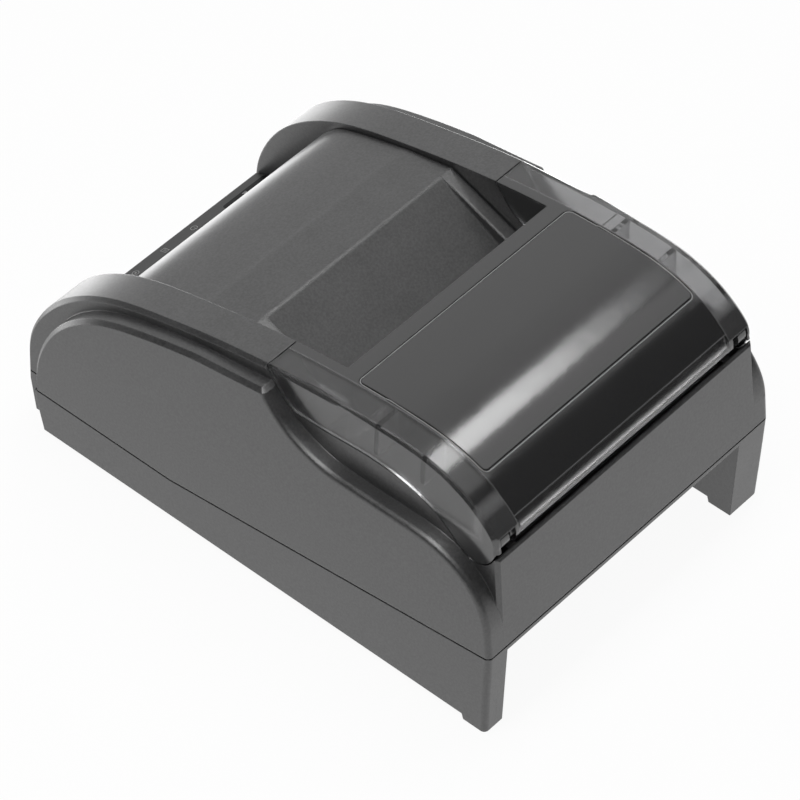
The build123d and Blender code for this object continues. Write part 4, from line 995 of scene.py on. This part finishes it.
class PRINTER_OT_boards(bpy.types.Operator):
    """Finishes the boards and sockets, and adds contacts and small parts"""
    bl_idname = "printer.boards"
    bl_label = "Boards and sockets"

    def execute(self, context):
        finish(board_laminate("board_green"), "main_board", "panel_board")
        black = moulded_plastic("part_black", (0.018, 0.018, 0.019), 0.42, 0.00025, 0.000006, 0.0003, 0.3)
        finish(black, "power_jack", "switch_housing", "power_rocker", "main_chip", "buzzer", "feed_switch",
               "paper_sensor")
        finish(unworn_finish("led_white", (0.78, 0.77, 0.68), 0.3, 0.0003, 0.000002), "panel_leds")
        finish(ground_metal("usb_steel", (0.62, 0.63, 0.65), 0.3), "usb_socket")
        finish(ground_metal("can_aluminium", (0.58, 0.59, 0.62), 0.3, (60.0, 60.0, 900.0)), "capacitors")
        self.contacts(ground_metal("contact_gold", (0.75, 0.56, 0.22), 0.28))
        self.small_parts(context.scene.printer.board, black)
        return {"FINISHED"}

    @staticmethod
    def contacts(gold):
        """Rows of contacts in the drawer socket and the USB socket."""
        row = row_tree()
        board_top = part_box("main_board")[1][2]
        bm = bmesh.new()
        for socket, count, pitch, size, y, height, lean in CONTACT_ROWS:
            low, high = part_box(socket)
            blocks = run_tree(row, points_mesh("row_start", [(0, 0, 0)]), {
                "Count": count, "Pitch": pitch, "Size": size, "Material": gold}, "row_of_blocks")
            start = (low[0] + high[0]) / 2 - pitch * (count - 1) / 2
            seat = Matrix.Translation((start, y, board_top + height))
            blocks.transform(seat @ Matrix.Rotation(math.radians(lean), 4, "X"))
            bm.from_mesh(blocks)
        piece("socket_contacts", mesh_from("socket_contacts", bm, angle=30.0), gold, "base")

    @staticmethod
    def small_parts(sizes, black):
        """Small parts scattered over the free areas of the main board."""
        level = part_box("main_board")[1][2] + sizes.chip_height / 2
        sheet = bmesh.new()
        for x0, x1, y0, y1 in PART_AREAS:
            corners = ((x0, y0), (x1, y0), (x1, y1), (x0, y1))
            sheet.faces.new([sheet.verts.new((x, y, level)) for x, y in corners])
        ground = plain_mesh("scatter_ground", sheet)
        size = (sizes.chip_length, sizes.chip_width, sizes.chip_height)
        parts = run_tree(scatter_tree(), ground, {
            "Density": 60000.0, "Gap": 0.0042, "Seed": sizes.seed, "Size": size, "Material": black},
            "small_parts")
        piece("small_parts", parts, black, "base")


class PRINTER_OT_feet(bpy.types.Operator):
    """Finishes the rubber feet"""
    bl_idname = "printer.feet"
    bl_label = "Feet"

    def execute(self, context):
        finish(ground_rubber("foot_rubber", (0.022, 0.022, 0.023), 0.72), "rubber_feet")
        return {"FINISHED"}


class PRINTER_OT_stage(bpy.types.Operator):
    """Builds the pale floor, the soft light and the camera"""
    bl_idname = "printer.stage"
    bl_label = "Stage"

    def execute(self, context):
        scene = context.scene
        look = scene.printer.stage
        scene.view_settings.view_transform = "Standard"
        self.lay_floor(look)
        self.light_room(scene, look)
        self.hang_lamps(look)
        self.set_camera(scene)
        return {"FINISHED"}

    @staticmethod
    def lay_floor(look):
        """A plain pale floor that takes the object's shadow and looks white to the camera."""
        bm = bmesh.new()
        bmesh.ops.create_grid(bm, x_segments=1, y_segments=1, size=4.0)
        floor = put_in_scene("floor", plain_mesh("floor", bm))
        mat, tree, shader, place = new_material("floor_paper")
        link(clouded(noise(place, 3.0), look.floor, 1.0, 1.02), shader.inputs["Base Color"])
        shader.inputs["Roughness"].default_value = 0.9
        glow = add(tree, "ShaderNodeEmission", Color=WHITE)
        mix = add(tree, "ShaderNodeMixShader")
        path = add(tree, "ShaderNodeLightPath").outputs
        seen = join("MAXIMUM", path["Is Camera Ray"], path["Is Glossy Ray"])
        seen = join("MAXIMUM", seen, path["Is Transmission Ray"])
        link(ramp(seen, 0.0, FLOOR_GLOW, 0.0, 1.0), mix.inputs["Fac"])
        link(shader.outputs[0], mix.inputs[1])
        link(glow.outputs[0], mix.inputs[2])
        out = next(node for node in tree.nodes if node.type == "OUTPUT_MATERIAL")
        link(mix.outputs[0], out.inputs["Surface"])
        floor.data.materials.append(mat)

    @staticmethod
    def light_room(scene, look):
        """Even light from a plain room with one pale wall, white where the camera sees it."""
        world = bpy.data.worlds.new("studio")
        scene.world = world
        world.use_nodes = True
        sky = world.node_tree
        sky.nodes.clear()
        out = add(sky, "ShaderNodeOutputWorld")
        behind = add(sky, "ShaderNodeVectorMath", operation="DOT_PRODUCT")
        link(add(sky, "ShaderNodeTexCoord").outputs["Generated"], behind.inputs[0])
        behind.inputs[1].default_value = WALL_SIDE
        wall = ramp(behind.outputs["Value"], 0.0, 1.0, 0.38, 0.78)
        room = add(sky, "ShaderNodeBackground", Color=WHITE)
        link(ramp(wall, look.room, look.backdrop, 0.0, 1.0), room.inputs["Strength"])
        white = add(sky, "ShaderNodeBackground", Color=WHITE, Strength=1.0)
        path = add(sky, "ShaderNodeLightPath").outputs
        mirrored = join("MAXIMUM", path["Is Glossy Ray"], path["Is Transmission Ray"])
        on_wall = join("MULTIPLY", mirrored, ramp(wall, 0.0, look.backdrop, 0.0, 1.0))
        seen = join("MAXIMUM", path["Is Camera Ray"], on_wall)
        mixed = add(sky, "ShaderNodeMixShader")
        link(seen, mixed.inputs["Fac"])
        link(room.outputs[0], mixed.inputs[1])
        link(white.outputs[0], mixed.inputs[2])
        link(mixed.outputs[0], out.inputs["Surface"])

    @staticmethod
    def hang_lamps(look):
        """Two long panels overhead and a lit table in front, none of them seen by the camera."""
        away = math.atan2(-0.54, 0.84)
        for name, place, tilt, turn, power, length, width in (
            ("overhead_light", (0.22, -0.04, 1.05), 0.0, 0.0, look.key, 1.72, 0.30),
            ("overhead_fill", (0.12, 0.36, 1.05), 0.0, 0.0, look.fill, 1.94, 0.45),
            ("light_table", (-0.1435, -0.3114, 0.004), math.pi, away, look.card, 0.90, 0.42),
        ):
            lamp = bpy.data.lights.new(name, "AREA")
            lamp.shape = "RECTANGLE"
            lamp.size = length
            lamp.size_y = width
            lamp.energy = power
            holder = put_in_scene(name, lamp)
            turned = Matrix.Rotation(turn, 4, "Z") @ Matrix.Rotation(tilt, 4, "X")
            holder.matrix_world = Matrix.Translation(place) @ turned
            holder.visible_camera = False

    @staticmethod
    def set_camera(scene):
        """The photograph's view: a long lens from above, behind and to the right."""
        lens = bpy.data.cameras.new("camera")
        lens.sensor_fit = "HORIZONTAL"
        lens.sensor_width = 36.0
        lens.lens = 217.35
        lens.clip_start = 0.05
        lens.clip_end = 20.0
        camera = put_in_scene("camera", lens)
        right = Vector((-0.659185, 0.751894, 0.01141))
        up = Vector((-0.543195, -0.486602, 0.68422))
        back = Vector((0.520013, 0.44483, 0.729186))
        turn = Matrix((right, up, back)).transposed().to_4x4()
        camera.matrix_world = Matrix.Translation((0.80059, 0.68959, 1.15275)) @ turn
        scene.camera = camera


OPERATORS = (
    PRINTER_OT_stage, PRINTER_OT_case, PRINTER_OT_cover, PRINTER_OT_lid, PRINTER_OT_strip,
    PRINTER_OT_mechanism, PRINTER_OT_springs, PRINTER_OT_screws, PRINTER_OT_boards, PRINTER_OT_feet,
)


class PRINTER_PT_panel(bpy.types.Panel):
    """Lists the printer's pieces and their sizes"""
    bl_idname = "PRINTER_PT_panel"
    bl_label = "Receipt printer"
    bl_space_type = "VIEW_3D"
    bl_region_type = "UI"
    bl_category = "Printer"

    def draw(self, context):
        layout = self.layout
        settings = context.scene.printer
        for part in ("case", "lid", "screws", "springs", "board", "stage"):
            group = getattr(settings, part)
            box = layout.box()
            for name in group.bl_rna.properties.keys():
                if name not in ("rna_type", "name"):
                    box.prop(group, name)
        for operator in OPERATORS:
            layout.operator(operator.bl_idname)


CLASSES = (
    CaseFinish, LidFinish, ScrewSizes, SpringSizes, BoardSizes, StageLook, PrinterSettings, *OPERATORS,
    PRINTER_PT_panel,
)


def register():
    for one in CLASSES:
        bpy.utils.register_class(one)
    bpy.types.Scene.printer = PointerProperty(type=PrinterSettings)


def unregister():
    del bpy.types.Scene.printer
    for one in reversed(CLASSES):
        bpy.utils.unregister_class(one)


def main():
    register()
    bpy.ops.printer.stage()
    bpy.ops.printer.case()
    bpy.ops.printer.cover()
    bpy.ops.printer.lid()
    bpy.ops.printer.strip()
    bpy.ops.printer.mechanism()
    bpy.ops.printer.springs()
    bpy.ops.printer.screws()
    bpy.ops.printer.boards()
    bpy.ops.printer.feet()


if __name__ == "__main__":
    main()
